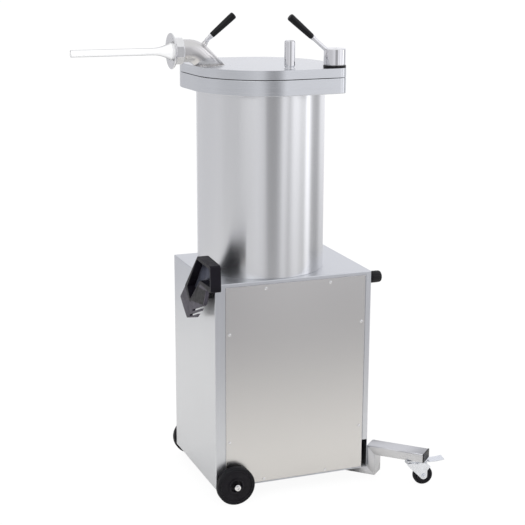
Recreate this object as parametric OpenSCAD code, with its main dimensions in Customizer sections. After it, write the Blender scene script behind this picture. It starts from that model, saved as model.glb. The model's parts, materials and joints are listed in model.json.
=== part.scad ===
// Upright hydraulic sausage stuffer on wheels: a barrel over a steel cabinet, with a swing lid.
// Millimetres. The origin is on the floor under the barrel's axis; -X is the operator's side.

/* [Cabinet] */
// Length of the cabinet, front to rear
cab_l = 440; // [430:5:460]
// Width of the cabinet
cab_w = 350; // [346:2:370]
// Height of the cabinet's walls
cab_h = 560; // [560:5:600]
// Sheet thickness of the shell and covers
sheet_t = 2; // [1.5:0.5:2]
// Distance from the front face to the barrel's axis
front_to_axis = 189; // [185:1:195]

/* [Barrel and lid] */
// Outside diameter of the barrel
barrel_od = 338; // [334:2:340]
// Wall thickness of the barrel
barrel_wall = 4; // [3:1:5]
// Height of the barrel above the cabinet
barrel_h = 513; // [505:1:560]
// Thickness of the flange round the barrel's mouth
flange_t = 40; // [34:1:44]
// Thickness of the lid plate
lid_t = 23; // [20:1:28]
// Radius of the lid's round middle
lid_r = 183; // [182:1:186]

/* [Outlet] */
// Outside diameter of the outlet elbow
elbow_od = 58; // [54:1:60]
// Outside diameter of the filling nozzle's tube
nozzle_od = 18; // [12:1:26]
// Length of the nozzle's straight tube
nozzle_l = 207; // [120:1:260]

/* [Running gear] */
// Diameter of the fixed wheels
wheel_d = 104; // [96:2:108]
// Width of the fixed wheels
wheel_w = 22; // [20:1:30]
// Diameter of the caster wheels
caster_d = 54; // [50:1:56]
// Width across the outrigger's rectangular tube
arm_w = 50; // [44:1:50]
// Height of the outrigger's tube
arm_t = 25; // [22:1:25]

/* [Hidden] */
$fn = 96;
eps = 0.5;            // overshoot of a cut
run = 0.05;           // radial clearance of a running fit
ground_gap = 40;
front_x = -front_to_axis;
rear_x = front_x + cab_l;
side_y = cab_w / 2;
top_z = ground_gap + cab_h;

// barrel, flange and lid
neck_r = 28;          // the cylinder's neck comes up through the cabinet's top
barrel_r = barrel_od / 2;
bore_r = barrel_r - barrel_wall;
mouth_z = top_z + barrel_h;
flange_z = mouth_z - flange_t;
seam = 1.6;
lid_z = mouth_z + seam;
lid_top = lid_z + lid_t;
post_at = 146;        // the clamp post stands at (post_at, -post_at)
post_r = 11;
corner_at = 149;
corner_r = 26;
ear_at = 82;
ear_r = 108;
catch_at = 136;       // the catch stands at (-catch_at, catch_at)
catch_r = 8;
gasket_r = bore_r + 1;
gasket_w = 5;
gasket_h = 3;
hand_post_at = [25, -140];

// clamp knob and levers
washer_h = 6;
knob_r = 28.5;
knob_z = lid_top + washer_h + 0.2;
knob_h = 42;
rod_r = 5.5;
grip_l = 80;
lever_tilt = 50;      // the levers lean this far from upright
clamp_rod_l = 62;

// elbow: a level pipe that bends down through 45 degrees into the lid
elbow_r = elbow_od / 2;
elbow_in = elbow_r - 3;
level_z = lid_top + 38;
bend_r = 50;
bend_x = -200;        // where the bend starts
pipe_end_x = -228;
flap_r = elbow_in - 1.5;
stem_a = 35;          // place of the tap's stem along the bend, from its level end
stem_r = 4;
nut_x = -215;
nut_l = 23;
nut_af = 66;
dish_r = 46;

// piston and hydraulics
base_z = ground_gap + 4;
deck_t = 8;
deck_z = top_z - sheet_t - deck_t;
ram_r = 40;
ram_in = 32;
rod_rad = 22.5;
gland_t = 30;
gland_z = deck_z - gland_t;
cap_z = base_z + 8;
cap_t = 14;
ram_piston_t = 25;
piston_z = top_z + 14;
piston_h = 38;

// fixed wheels
wheel_x = front_x + 49;
wheel_z = wheel_d / 2;
axle_r = 7;
hub_gap = 7;

// outriggers: a cranked tube at 45 degrees; u runs outwards along it, v across it
arm_v = 86;
arm_u0 = 230;
leg_u = 297;
arm_end = 459;
arm_gap = 0.02;        // between the tube and the base plate it is bolted under
arm_low = ground_gap - arm_t - arm_gap;
arm_high = 75;
arm_wall = 2.5;
bolt_u = [239, 254];  // two bolts hold each arm under the base plate
bolt_r = 4;
caster_u = 430;
caster_trail = 22;
caster_turn = -10;    // the casters trail this way from +X
swivel_x = (caster_u + arm_v) / sqrt(2);
swivel_y = (arm_v - caster_u) / sqrt(2);
fork_z = arm_high - 9;

// knee lever
pad_back = front_x - 6;
pad_t = 28;
blade_t = 9;          // the pad's lower part is thinner
pad_floor = 6;
knee_y = -75;
knee_z = 556;
knee_shaft_r = 8;
crank_l = 40;
crank_x = -152;
spool_z = knee_z - crank_l;

// power pack: the motor and pump lie along Y on the oil tank
tank_x = 75;
tank_l = 140;
tank_h = 200;
pack_x = 150;
pack_z = base_z + tank_h + 76;
motor_r = 62;
gear_r = 20;
gear_teeth = 10;
gear_w = 24;

// ---------- shared shapes ----------

// Quadrilateral between the outer tangent points of two circles [x, y, r], on both sides.
module tangent_quad(a, b) {
    d = [b[0] - a[0], b[1] - a[1]];
    l = norm(d);
    dir = atan2(d[1], d[0]);
    open = acos((a[2] - b[2]) / l);
    left = [cos(dir + open), sin(dir + open)];
    right = [cos(dir - open), sin(dir - open)];
    centre_a = [a[0], a[1]];
    centre_b = [b[0], b[1]];
    polygon([centre_a + a[2] * left, centre_a + a[2] * right,
        centre_b + b[2] * right, centre_b + b[2] * left]);
}

// The outline that the lid and the flange share: a disc with two ears.
module lid_outline() {
    disc = [0, 0, lid_r];
    corner = [corner_at, -corner_at, corner_r];
    ear = [-ear_at, ear_at, ear_r];
    for (c = [disc, corner, ear]) translate([c[0], c[1]]) circle(c[2]);
    tangent_quad(disc, corner);
    tangent_quad(disc, ear);
}

module tube(r, inner, h) {
    difference() {
        cylinder(r = r, h = h);
        translate([0, 0, -eps]) cylinder(r = inner, h = h + 2 * eps);
    }
}

module on_both_sides() {
    children();
    mirror([0, 1, 0]) children();
}

// Box given by its lowest and highest corners.
module span(a, b) translate(a) cube([b[0] - a[0], b[1] - a[1], b[2] - a[2]]);

// Child modelled along +Z, laid along +X, -X or +Y.
module along_x() rotate([0, 90, 0]) children();
module along_back_x() rotate([0, -90, 0]) children();
module along_y() rotate([-90, 0, 0]) children();

// Lever rod with a tapered grip on it, along +Z from the origin.
module lever(rod_l) {
    color("silver") cylinder(r = rod_r, h = rod_l + 10);
    color([0.05, 0.05, 0.06]) translate([0, 0, rod_l]) difference() {
        rotate_extrude() polygon([[0, 0], [6, 0], [7.5, 2], [9, grip_l * 0.6],
            [9.4, grip_l - 8], [8.4, grip_l - 1.5], [6, grip_l], [0, grip_l]]);
        translate([0, 0, -eps]) cylinder(r = rod_r, h = 10 + eps);
    }
}

// ---------- cabinet ----------

cover_x0 = front_x + 28.5;
cover_x1 = rear_x - 16;
cover_z0 = ground_gap + 3;
cover_z1 = top_z - 9.5;
cover_gap = 0.5;
lip = 16;
screw_x_top = [-50, 132];
screw_x_low = [-53, 125];
screw_z_edge = [ground_gap + 126, ground_gap + 424];
screw_inset = 11;
screw_inset_low = 7;

function cover_screw_places() = concat(
    [for (x = screw_x_top) [x, cover_z1 - screw_inset]],
    [for (x = screw_x_low) [x, cover_z0 + screw_inset_low]],
    [for (z = screw_z_edge) [cover_x0 + screw_inset, z]],
    [for (z = screw_z_edge) [cover_x1 - screw_inset, z - 1]]);

// Notch in the foot of each rear corner, where the machine is lifted.
notch_depth = 25;
notch_top = ground_gap + 82;

module cabinet_shell() color("silver") difference() {
    span([front_x, -side_y, ground_gap], [rear_x, side_y, top_z]);
    // the room inside, between the two lipped sides
    span([front_x + sheet_t, -side_y + 2 * sheet_t, ground_gap - eps],
        [rear_x - sheet_t, side_y - 2 * sheet_t, top_z - sheet_t]);
    on_both_sides() {
        // recess that takes a cover, and the opening behind it
        span([cover_x0 - cover_gap, -side_y - eps, cover_z0 - cover_gap],
            [cover_x1 + cover_gap, -side_y + sheet_t, cover_z1 + cover_gap]);
        span([cover_x0 + lip, -side_y - eps, cover_z0 + lip],
            [cover_x1 - lip, -side_y + 3 * sheet_t, cover_z1 - lip]);
        for (p = cover_screw_places()) translate([p[0], -side_y - eps, p[1]])
            along_y() cylinder(r = 2, h = 4 * sheet_t);
        translate([wheel_x, -side_y - eps, wheel_z]) along_y()
            cylinder(r = axle_r + 0.5, h = 4 * sheet_t);
        span([cover_x1, -side_y - eps, ground_gap - eps],
            [rear_x + eps, -side_y + notch_depth, notch_top]);
    }
    translate([0, 0, top_z - 2 * sheet_t]) cylinder(r = neck_r + 0.2, h = 4 * sheet_t);
    // holes for the knee shaft, the speed knob, the buttons and the cable
    translate([front_x - eps, knee_y, knee_z]) along_x() cylinder(r = 12, h = 10);
    translate([rear_x - 10, -150, top_z - 24]) along_x() cylinder(r = 5.2, h = 20);
    for (y = [-30, 30]) translate([rear_x - 10, y, top_z - 60]) along_x()
        cylinder(r = 14, h = 20);
    translate([rear_x - 10, 100, 110]) along_x() cylinder(r = 10, h = 20);
}

module side_cover() difference() {
    span([cover_x0, -side_y, cover_z0], [cover_x1, -side_y + sheet_t - 0.1, cover_z1]);
    for (p = cover_screw_places()) translate([p[0], -side_y - eps, p[1]])
        along_y() cylinder(r = 2, h = 4);
    translate([wheel_x, -side_y - eps, wheel_z]) along_y() cylinder(r = axle_r + 0.5, h = 4);
}

module side_cover_near() color("gainsboro") side_cover();
module side_cover_far() color("gainsboro") mirror([0, 1, 0]) side_cover();

module cover_screws() color("silver") on_both_sides()
    for (p = cover_screw_places()) translate([p[0], -side_y, p[1]]) {
        along_y() cylinder(r = 2, h = 5, $fn = 24);
        rotate([90, 0, 0]) cylinder(r1 = 3.8, r2 = 2.4, h = 1.6, $fn = 24);
    }

// Base plate with a bracket for the axle welded on at each side.
module base_plate() color("dimgray") difference() {
    union() {
        span([front_x + sheet_t, -side_y + 2 * sheet_t, ground_gap],
            [rear_x - sheet_t, side_y - 2 * sheet_t, base_z]);
        on_both_sides() span([wheel_x - 18, -side_y + 20, base_z - 1],
            [wheel_x + 18, -side_y + 60, base_z + 26]);
    }
    on_both_sides() {
        for (u = bolt_u) rotate(-45) translate([u, arm_v, ground_gap - eps])
            cylinder(r = bolt_r + 0.1, h = 6);
        translate([wheel_x, -side_y + 10, wheel_z]) along_y() cylinder(r = axle_r, h = 60);
    }
}

module deck_plate() color("dimgray") difference() {
    span([front_x + 20, -side_y + 12, deck_z], [190, side_y - 12, deck_z + deck_t]);
    translate([0, 0, deck_z - eps]) cylinder(r = neck_r + 0.2, h = deck_t + 1);
    span([front_x, knee_y - 60, deck_z - eps], [front_x + 40, knee_y + 60, top_z]);
}

// ---------- barrel ----------

// The barrel is a tube welded to a ring that rests on the cabinet.
module barrel() color("lightgray") translate([0, 0, top_z]) {
    tube(barrel_r, bore_r, barrel_h);
    tube(bore_r + 1, neck_r + 0.1, 8);
}

module barrel_flange() color("silver") difference() {
    translate([0, 0, flange_z]) linear_extrude(flange_t) lid_outline();
    translate([0, 0, flange_z - eps]) cylinder(r = barrel_r, h = flange_t + 2 * eps);
    translate([post_at, -post_at, flange_z - eps]) cylinder(r = post_r, h = flange_t + 1);
    translate([-catch_at, catch_at, flange_z - eps]) cylinder(r = catch_r, h = flange_t + 1);
}

post_in_knob = 34;

module clamp_post() color("silver") translate([post_at, -post_at, flange_z])
    cylinder(r = post_r, h = knob_z + post_in_knob - flange_z);

module lid_catch() color("silver") translate([-catch_at, catch_at, 0]) {
    foot = 10;
    translate([0, 0, flange_z - foot]) cylinder(r = catch_r, h = lid_top + 4 - flange_z + foot);
    translate([0, 0, flange_z - 8]) cylinder(r = 13, h = 8, $fn = 6);
    translate([0, 0, lid_top + 0.3]) cylinder(r = 14, h = 8);
}

// ---------- lid ----------

// Room for the catch as the lid swings about the clamp post.
module catch_slot() {
    reach = (post_at + catch_at) * sqrt(2);
    slot_r = catch_r + 1;
    translate([post_at, -post_at, lid_z - eps]) rotate(135) {
        rotate([0, 0, -18]) rotate_extrude(angle = 18)
            translate([reach - slot_r, 0]) square([2 * slot_r, lid_t + 1]);
        translate([reach, 0, 0]) cylinder(r = slot_r, h = lid_t + 1);
    }
}

// Child modelled along +Z, laid along the elbow's axis where it runs down into the lid.
module down_leg() translate([bend_x + bend_r * sin(45), 0, level_z - bend_r * (1 - cos(45))])
    rotate([0, 135, 0]) children();

module lid_plate() color("silver") difference() {
    translate([0, 0, lid_z]) linear_extrude(lid_t) lid_outline();
    translate([post_at, -post_at, lid_z - eps]) cylinder(r = post_r + run, h = lid_t + 1);
    translate([hand_post_at[0], hand_post_at[1], lid_top - 12]) cylinder(r = 8, h = 13);
    translate([0, 0, lid_z - eps]) tube(gasket_r + gasket_w, gasket_r - 2, gasket_h + eps);
    catch_slot();
    down_leg() cylinder(r = elbow_in, h = 90);
}

module lid_gasket() color([0.1, 0.1, 0.1]) translate([0, 0, lid_z - seam + 0.1])
    tube(gasket_r + gasket_w - 0.2, gasket_r - 1.8, gasket_h + seam - 0.2);

// Hollow elbow: level pipe, bend and the leg that runs down into the lid, with a weld bead
// at each end of the bend.
module elbow_pipe() {
    bead = 1.2;
    translate([bend_x, 0, level_z]) along_back_x() {
        tube(elbow_r + 0.4, elbow_in - 0.3, bead);
        translate([0, 0, bead]) tube(elbow_r, elbow_in, bend_x - pipe_end_x - bead);
    }
    translate([bend_x, 0, level_z - bend_r]) rotate([90, 0, 0]) rotate([0, 0, 45])
        rotate_extrude(angle = 45) translate([bend_r, 0]) difference() {
            circle(elbow_r);
            circle(elbow_in);
        }
    down_leg() {
        tube(elbow_r + 0.4, elbow_in - 0.3, bead);
        translate([0, 0, bead]) tube(elbow_r, elbow_in, 70);
    }
}

// Child modelled along +Z, put on the tap's stem: the origin is the pipe's middle.
module on_stem() translate([bend_x + bend_r * sin(stem_a), 0,
    level_z - bend_r * (1 - cos(stem_a))]) rotate([0, stem_a, 0]) children();

module outlet_elbow() color("lightgray") difference() {
    union() {
        elbow_pipe();
        on_stem() translate([0, 0, elbow_r - 2]) cylinder(r = 7, h = 9);
    }
    on_stem() cylinder(r = stem_r + run, h = elbow_r + 20);
    span([-300, -60, lid_z - 60], [0, 60, lid_top]);
}

module hand_post() color("silver") translate([hand_post_at[0], hand_post_at[1], 0]) {
    translate([0, 0, lid_top - 11.5]) cylinder(r = 7.9, h = 12);
    translate([0, 0, lid_top]) rotate_extrude() polygon([[0, 0], [13, 0], [13, 3], [14, 4],
        [14, 66], [13.4, 69], [11.5, 71], [0, 71]]);
}

// ---------- clamp and tap ----------

clamp_foot = [post_at - 16, -post_at, knob_z + knob_h - 10];

module clamp_knob() color("silver") difference() {
    translate([post_at, -post_at, knob_z - washer_h]) {
        color([0.05, 0.05, 0.05]) cylinder(r = knob_r + 0.8, h = washer_h);
        translate([0, 0, washer_h]) rotate_extrude() polygon([[0, 0], [knob_r, 0],
            [knob_r, knob_h - 2], [knob_r - 0.7, knob_h - 0.7], [knob_r - 2, knob_h],
            [0, knob_h]]);
    }
    translate([post_at, -post_at, knob_z - washer_h - eps])
        cylinder(r = post_r + run, h = post_in_knob + washer_h + 2 * eps);
    translate(clamp_foot) rotate([0, -lever_tilt, 0]) cylinder(r = rod_r, h = 60);
}

module clamp_lever() translate(clamp_foot) rotate([0, -lever_tilt, 0]) lever(clamp_rod_l);

tap_head_z = elbow_r + 8;

module tap_flap() color("silver") on_stem() {
    cylinder(r = stem_r, h = tap_head_z);
    translate([0, 1.5, 0]) rotate([90, 0, 0]) cylinder(r = flap_r, h = 3);
}

tap_rod_l = 14;
tap_bend = lever_tilt - stem_a;

module tap_lever() on_stem() translate([0, 0, tap_head_z]) {
    color("silver") cylinder(r = 5.8, h = 9);
    translate([0, 0, 8]) rotate([0, tap_bend, 0]) lever(tap_rod_l);
}

// ---------- nozzle ----------

nut_end = nut_x - nut_l;
flange_x = pipe_end_x - 0.2;

module nozzle_nut() color("silver") difference() {
    translate([0, 0, level_z]) {
        translate([nut_x, 0, 0]) along_back_x() rotate(22.5)
            cylinder(d = nut_af / cos(22.5), h = nut_l, $fn = 8);
        // dished rim
        translate([nut_end, 0, 0]) along_back_x() rotate_extrude() polygon([[24, -2],
            [32, -4], [dish_r - 3, 1.5], [dish_r, 4], [dish_r - 1, 6.5], [dish_r - 5, 7],
            [30, 1.5], [24, 0]]);
    }
    translate([nut_x + eps, 0, level_z]) along_back_x()
        cylinder(r = elbow_r + run, h = nut_x + eps - flange_x + 4);
    translate([nut_x, 0, level_z]) along_back_x() cylinder(r = 23.2, h = nut_l + 10);
}

cone_x = -246;
cone_l = 48;
tip_x = cone_x - cone_l - nozzle_l;

module filling_nozzle() color("white") translate([flange_x, 0, level_z]) along_back_x()
    rotate_extrude() {
        r = nozzle_od / 2;
        in = r - 2;
        l0 = flange_x - cone_x;
        l1 = l0 + cone_l;
        l2 = l1 + nozzle_l;
        flare = function (t) r + (22 - r) * pow(1 - t, 2.2);
        steps = 8;
        polygon(concat(
            [[elbow_r - 0.4, 0], [elbow_r - 0.4, 3.8], [22.8, 3.8], [22.8, l0 - 2]],
            [for (i = [0 : steps]) [flare(i / steps), l0 + cone_l * i / steps]],
            [[r, l2], [in, l2]],
            [for (i = [steps : -1 : 0]) [flare(i / steps) - 2, l0 + cone_l * i / steps]],
            [[20.8, 0]]));
    }

// ---------- piston and cylinder ----------

module hydraulic_cylinder() color("dimgray") translate([0, 0, cap_z + cap_t])
    tube(ram_r, ram_in, gland_z - cap_z - cap_t);

tie_at = 42;
module tie_holes(z, h) for (x = [-tie_at, tie_at], y = [-tie_at, tie_at])
    translate([x, y, z]) cylinder(r = 5.05, h = h);

module cylinder_cap() color("dimgray") difference() {
    span([-52, -52, cap_z], [52, 52, cap_z + cap_t]);
    tie_holes(cap_z - eps, cap_t + 1);
    // recess in the middle, and the oil port that opens into it
    translate([0, 0, cap_z + cap_t - 4]) cylinder(r = 16, h = 5);
    translate([0, 0, cap_z + 8]) along_x() cylinder(r = 4, h = 60);
}

module cylinder_gland() color("dimgray") difference() {
    union() {
        span([-52, -52, gland_z], [52, 52, deck_z]);
        translate([0, 0, gland_z]) cylinder(r = neck_r, h = piston_z - 2 - gland_z);
    }
    translate([0, 0, gland_z - eps]) cylinder(r = rod_rad + run, h = 80);
    tie_holes(gland_z - eps, 24);
}

module tie_rods() color("silver") for (x = [-tie_at, tie_at], y = [-tie_at, tie_at])
    translate([x, y, 0]) {
        translate([0, 0, base_z + 1]) cylinder(r = 5, h = gland_z + 22 - base_z);
        translate([0, 0, cap_z - 7]) cylinder(r = 9, h = 7, $fn = 6);
    }

ram_z = cap_z + cap_t + 6;

module piston_rod() color("silver") {
    translate([0, 0, ram_z + ram_piston_t]) cylinder(r = rod_rad,
        h = piston_z - ram_z - ram_piston_t);
    translate([0, 0, ram_z]) cylinder(r = 10, h = ram_piston_t + 1);
    translate([0, 0, piston_z - 1]) cylinder(r = 12, h = 24);
}

module ram_piston() color("gray") translate([0, 0, ram_z]) tube(ram_in - run, 10, ram_piston_t);

seal_z = [6, 26];
seal_h = 6;

module meat_piston() color("silver") difference() {
    translate([0, 0, piston_z]) cylinder(r = bore_r - 0.8, h = piston_h);
    translate([0, 0, piston_z - eps]) cylinder(r = 12, h = 23 + eps);
    for (z = seal_z) translate([0, 0, piston_z + z]) tube(bore_r, bore_r - 6, seal_h);
}

module piston_seals() color([0.15, 0.15, 0.15]) for (z = seal_z)
    translate([0, 0, piston_z + z]) tube(bore_r - 0.1, bore_r - 6, seal_h);

// ---------- fixed wheels ----------

module fixed_wheel() translate([wheel_x, -side_y - hub_gap, wheel_z]) rotate([90, 0, 0])
    color([0.07, 0.07, 0.08]) difference() {
        rotate_extrude() polygon([[20, 0], [wheel_d / 2 - 3, 0], [wheel_d / 2, 3],
            [wheel_d / 2, wheel_w - 3], [wheel_d / 2 - 3, wheel_w], [42, wheel_w],
            [40, wheel_w - 3], [24, wheel_w - 3], [21, wheel_w - 1], [18, wheel_w - 1],
            [16, wheel_w - 5], [axle_r - 1, wheel_w - 5], [axle_r - 1, -6], [14, -6],
            [14, 2], [20, 2]]);
        translate([0, 0, -10]) cylinder(r = axle_r + run, h = wheel_w + 20);
    }

module wheel_near() fixed_wheel();
module wheel_far() mirror([0, 1, 0]) fixed_wheel();

// Rod with a domed bolt head and a washer at each end, outside the wheel's hub.
module wheel_axle() color("silver") on_both_sides() translate([wheel_x, 0, wheel_z])
    rotate([90, 0, 0]) {
        half = side_y + hub_gap + wheel_w - 4.6;
        washer_t = 2;
        head_h = 14;
        cylinder(r = axle_r, h = half);
        translate([0, 0, half]) cylinder(r = 11, h = washer_t);
        translate([0, 0, half + washer_t]) rotate_extrude() polygon([[0, 0], [9, 0],
            [9, head_h - 3], [7.5, head_h - 1], [0, head_h]]);
    }

// ---------- outriggers and casters ----------

module on_arm() rotate(-45) children();

module arm_box(u0, u1, z0, z1, inset)
    span([u0, arm_v - arm_w / 2 + inset, z0], [u1, arm_v + arm_w / 2 - inset, z1]);

module outrigger_arm() on_arm() difference() {
    union() {
        arm_box(arm_u0, leg_u + arm_t, arm_low, arm_low + arm_t, 0);
        arm_box(leg_u, leg_u + arm_t, arm_low, arm_high + arm_t, 0);
        arm_box(leg_u, arm_end, arm_high, arm_high + arm_t, 0);
    }
    w = arm_wall;
    arm_box(arm_u0 - eps, leg_u + arm_t - w, arm_low + w, arm_low + arm_t - w, w);
    arm_box(leg_u + w, leg_u + arm_t - w, arm_low + w, arm_high + arm_t - w, w);
    arm_box(leg_u + w, arm_end + eps, arm_high + w, arm_high + arm_t - w, w);
    for (u = bolt_u) translate([u, arm_v, arm_low - eps]) cylinder(r = bolt_r + 0.1, h = 40);
    translate([caster_u, arm_v, arm_high - eps]) cylinder(r = 5.1, h = w + 1);
}

module outrigger_arms() color("lightgray") on_both_sides() outrigger_arm();

module arm_cap(u_face, z0, out) {
    plug = 4;
    arm_box(min(u_face, u_face + out * 3), max(u_face, u_face + out * 3), z0, z0 + arm_t, 0);
    arm_box(min(u_face, u_face - out * plug), max(u_face, u_face - out * plug),
        z0 + arm_wall, z0 + arm_t - arm_wall, arm_wall);
}

module outrigger_caps() color([0.05, 0.05, 0.05]) on_both_sides() on_arm() {
    arm_cap(arm_end, arm_high, 1);
    arm_cap(arm_u0, arm_low, -1);
}

module outrigger_bolts() color("silver") on_both_sides() on_arm() for (u = bolt_u)
    translate([u, arm_v, 0]) rotate(30) {
        head_r = 7.5;
        translate([0, 0, arm_low - 5]) cylinder(r = head_r, h = 5, $fn = 6);
        translate([0, 0, arm_low - 1]) cylinder(r = bolt_r, h = base_z - arm_low + 10);
        translate([0, 0, base_z]) cylinder(r = head_r, h = 6, $fn = 6);
    }

module on_swivel() translate([swivel_x, swivel_y, 0]) rotate(caster_turn) children();

module caster_plate() on_swivel() {
    span([-27, -20, arm_high - 3], [27, 20, arm_high]);
    translate([0, 0, fork_z - 2.4]) cylinder(r = 5, h = arm_high - fork_z + 8);
    translate([0, 0, fork_z - 7]) cylinder(r = 8, h = 4.8);
}

module caster_plates() color("silver") on_both_sides() caster_plate();

cheek_y = 13;
cheek_t = 2.5;
cheek_r = 10;         // rounded end of a cheek, round the wheel's axle
brake_x = 13;
brake_z = fork_z - 5;
brake_pin_r = 2;

module caster_fork() on_swivel() difference() {
    union() {
        // crown with its ball race
        translate([0, 0, fork_z - 2]) cylinder(r = 17, h = 7.8);
        for (s = [1, -1]) translate([0, s * cheek_y, 0]) rotate([90, 0, 0])
            translate([0, 0, -cheek_t / 2]) linear_extrude(cheek_t) {
                translate([caster_trail, caster_d / 2]) circle(cheek_r);
                polygon([[-25, fork_z], [-25, fork_z - 6], [15.2, 19.7], [30.6, 21.9],
                    [32, 42], [41, 53], [36, 58], [22, fork_z]]);
            }
        translate([caster_trail, cheek_y + 5, caster_d / 2]) rotate([90, 0, 0])
            cylinder(r = 4, h = 2 * cheek_y + 10);
        for (s = [1, -1]) translate([caster_trail, s * (cheek_y + 5) + 2, caster_d / 2])
            rotate([90, 0, 0]) cylinder(r = 6.5, h = 4, $fn = 6);
    }
    translate([0, 0, fork_z - 10]) cylinder(r = 5 + run, h = 30);
    translate([0, 0, fork_z - 12]) cylinder(r = 9, h = 10);
    translate([brake_x, 20, brake_z]) rotate([90, 0, 0]) cylinder(r = brake_pin_r + run, h = 40);
}

// Strip of the brake's pedal: its side view, and its width.
module pedal_strip(side_view, width) rotate([90, 0, 0]) translate([0, 0, -width / 2])
    linear_extrude(width) polygon(side_view);

// Foot pedal of the brake, on a pin through the fork: a narrow root with a shoe over the wheel,
// and a wide tread outside the fork.
module brake() color("silver") on_swivel() translate([brake_x, 0, brake_z]) {
    root_w = 21;
    tread_w = 32;
    translate([0, cheek_y + 1, 0]) rotate([90, 0, 0])
        cylinder(r = brake_pin_r, h = 2 * cheek_y + 2);
    pedal_strip([[-3.5, -1.5], [10, -1.2], [24, 6.6], [24, 9.4], [9, 1.4], [-3.5, 1.3]], root_w);
    pedal_strip([[22, 5.5], [24, 5.5], [58, 8.2], [66, 10.2], [66, 12.2], [57, 10.6], [22, 8.4]],
        tread_w);
    pedal_strip([[4, 0], [4, -4.9], [11, -4.9], [11, 0]], root_w - 4);
}

module brake_near() brake();
module brake_far() mirror([0, 1, 0]) brake();

module caster_fork_near() color("silver") caster_fork();
module caster_fork_far() color("silver") mirror([0, 1, 0]) caster_fork();

module caster_wheel() on_swivel() translate([caster_trail, 10, caster_d / 2])
    rotate([90, 0, 0]) color([0.07, 0.07, 0.08]) difference() {
        r = caster_d / 2;
        rotate_extrude() polygon([[4 + run, 0], [8, 0], [9, 2], [r - 6, 2], [r - 4, 1],
            [r - 1, 3], [r, 6], [r, 14], [r - 1, 17], [r - 4, 19], [r - 6, 18], [9, 18],
            [8, 20], [4 + run, 20]]);
    }

module caster_wheel_near() caster_wheel();
module caster_wheel_far() mirror([0, 1, 0]) caster_wheel();

// ---------- knee lever ----------

// The pad, looking from the front: [distance towards +Y, height]. A deep box on top, and a thin
// blade that hangs from it.
pad_box = [[-140, 672], [-242, 668], [-244, 599], [-158, 602], [-140, 587], [-72, 530],
    [-28, 565]];
box_pocket = [[-133, 661], [-236, 659], [-237, 614], [-157, 612], [-138, 595], [-73, 541],
    [-50, 570]];
pad_blade = [[-157, 606], [-210, 603], [-186, 554], [-165, 540], [-114, 502], [-44, 482],
    [-15, 503], [12, 526], [-30, 564.5], [-72.5, 535], [-139, 591]];
blade_block = [[-141, 592], [-206, 597], [-180, 553], [-80, 538]];
pad_slots = [[[-92, 515], [-180, 548]], [[-69, 495], [-150, 526]]];
slot_w = 5;

module pad_prism(points, from, depth) translate([from, 0, 0]) rotate([90, 0, 90])
    linear_extrude(depth) polygon(points);

// Slot with square ends between two points.
module pad_slot(a, b) {
    run_of = b - a;
    side = slot_w / 2 * [-run_of[1], run_of[0]] / norm(run_of);
    pad_prism([a + side, b + side, b - side, a - side], pad_back - pad_t - eps, pad_t + 1);
}

module knee_pad() color([0.06, 0.06, 0.07]) difference() {
    union() {
        pad_prism(pad_box, pad_back - pad_t, pad_t);
        pad_prism(pad_blade, pad_back - pad_t, blade_t);
        pad_prism(blade_block, pad_back - pad_t, blade_t + 3);
    }
    pad_prism(box_pocket, pad_back - pad_t - eps, pad_t - pad_floor + eps);
    for (ends = pad_slots) pad_slot(ends[0], ends[1]);
    translate([pad_back - pad_floor + 1, knee_y, knee_z]) along_x()
        cylinder(r = knee_shaft_r, h = 20);
}

module knee_bush() color("gray") translate([front_x, knee_y, knee_z]) along_x() {
    translate([0, 0, -4]) tube(16, knee_shaft_r + run, 4);
    tube(11.9, knee_shaft_r + run, 14);
}

// Shaft with the crank that pushes the valve's spool.
module knee_crank() color("silver") translate([0, knee_y, knee_z]) {
    shaft_x = pad_back - pad_floor + 1;
    translate([shaft_x, 0, 0]) along_x() cylinder(r = knee_shaft_r, h = crank_x + 10 - shaft_x);
    translate([crank_x, 0, 0]) along_x() cylinder(r = 14, h = 10);
    span([crank_x, -7, -crank_l], [crank_x + 10, 7, 0]);
    translate([crank_x, 0, -crank_l]) along_x() {
        cylinder(r = 7, h = 10);
        cylinder(r = 4, h = 22);
    }
}

valve_y = -30;
valve_l = 90;
spool_r = 9;
spool_x = -133;

module valve_block() color("gray") difference() {
    span([spool_x - 24, valve_y, spool_z - 26], [spool_x + 30, valve_y + valve_l, spool_z + 24]);
    translate([spool_x, valve_y - eps, spool_z]) along_y()
        cylinder(r = spool_r + run, h = valve_l - 8);
}

module valve_spool() color("silver") translate([spool_x, 0, spool_z]) {
    translate([0, valve_y - 28, 0]) along_y() cylinder(r = spool_r, h = 88);
    difference() {
        span([-3, knee_y - 14, -12], [8, valve_y - 27, 12]);
        // slot for the crank's pin
        span([-4, knee_y - 4.6, -9], [9, knee_y + 4.6, 9]);
    }
}

// ---------- rear controls ----------

speed_at = [rear_x, -150, top_z - 24];

module speed_knob() color([0.05, 0.05, 0.05]) translate(speed_at) along_x() {
    translate([0, 0, -14]) cylinder(r = 5, h = 20);
    translate([0, 0, 4]) rotate_extrude() polygon([[0, 0], [12, 0], [16, 4], [16, 30],
        [14, 33], [0, 34]]);
}

button_y = 30;
button_z = top_z - 60;

module switch_plate() color("silver") difference() {
    span([rear_x, -60, button_z - 26], [rear_x + 3, 60, button_z + 26]);
    for (y = [-button_y, button_y]) translate([rear_x - eps, y, button_z]) along_x()
        cylinder(r = 11.1, h = 5);
}

module push_button() translate([rear_x - 12, 0, button_z]) along_x() {
    cylinder(r = 13.5, h = 8);
    cylinder(r = 11, h = 22);
}

module start_button() color("green") translate([0, -button_y, 0]) push_button();
module stop_button() color("red") translate([0, button_y, 0]) push_button();

module electrical_box() color("lightgray") difference() {
    span([front_x + 12, -90, base_z + 60], [front_x + 92, 90, base_z + 300]);
    span([front_x + 14, -88, base_z + 62], [front_x + 94, 88, base_z + 298]);
}

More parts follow.
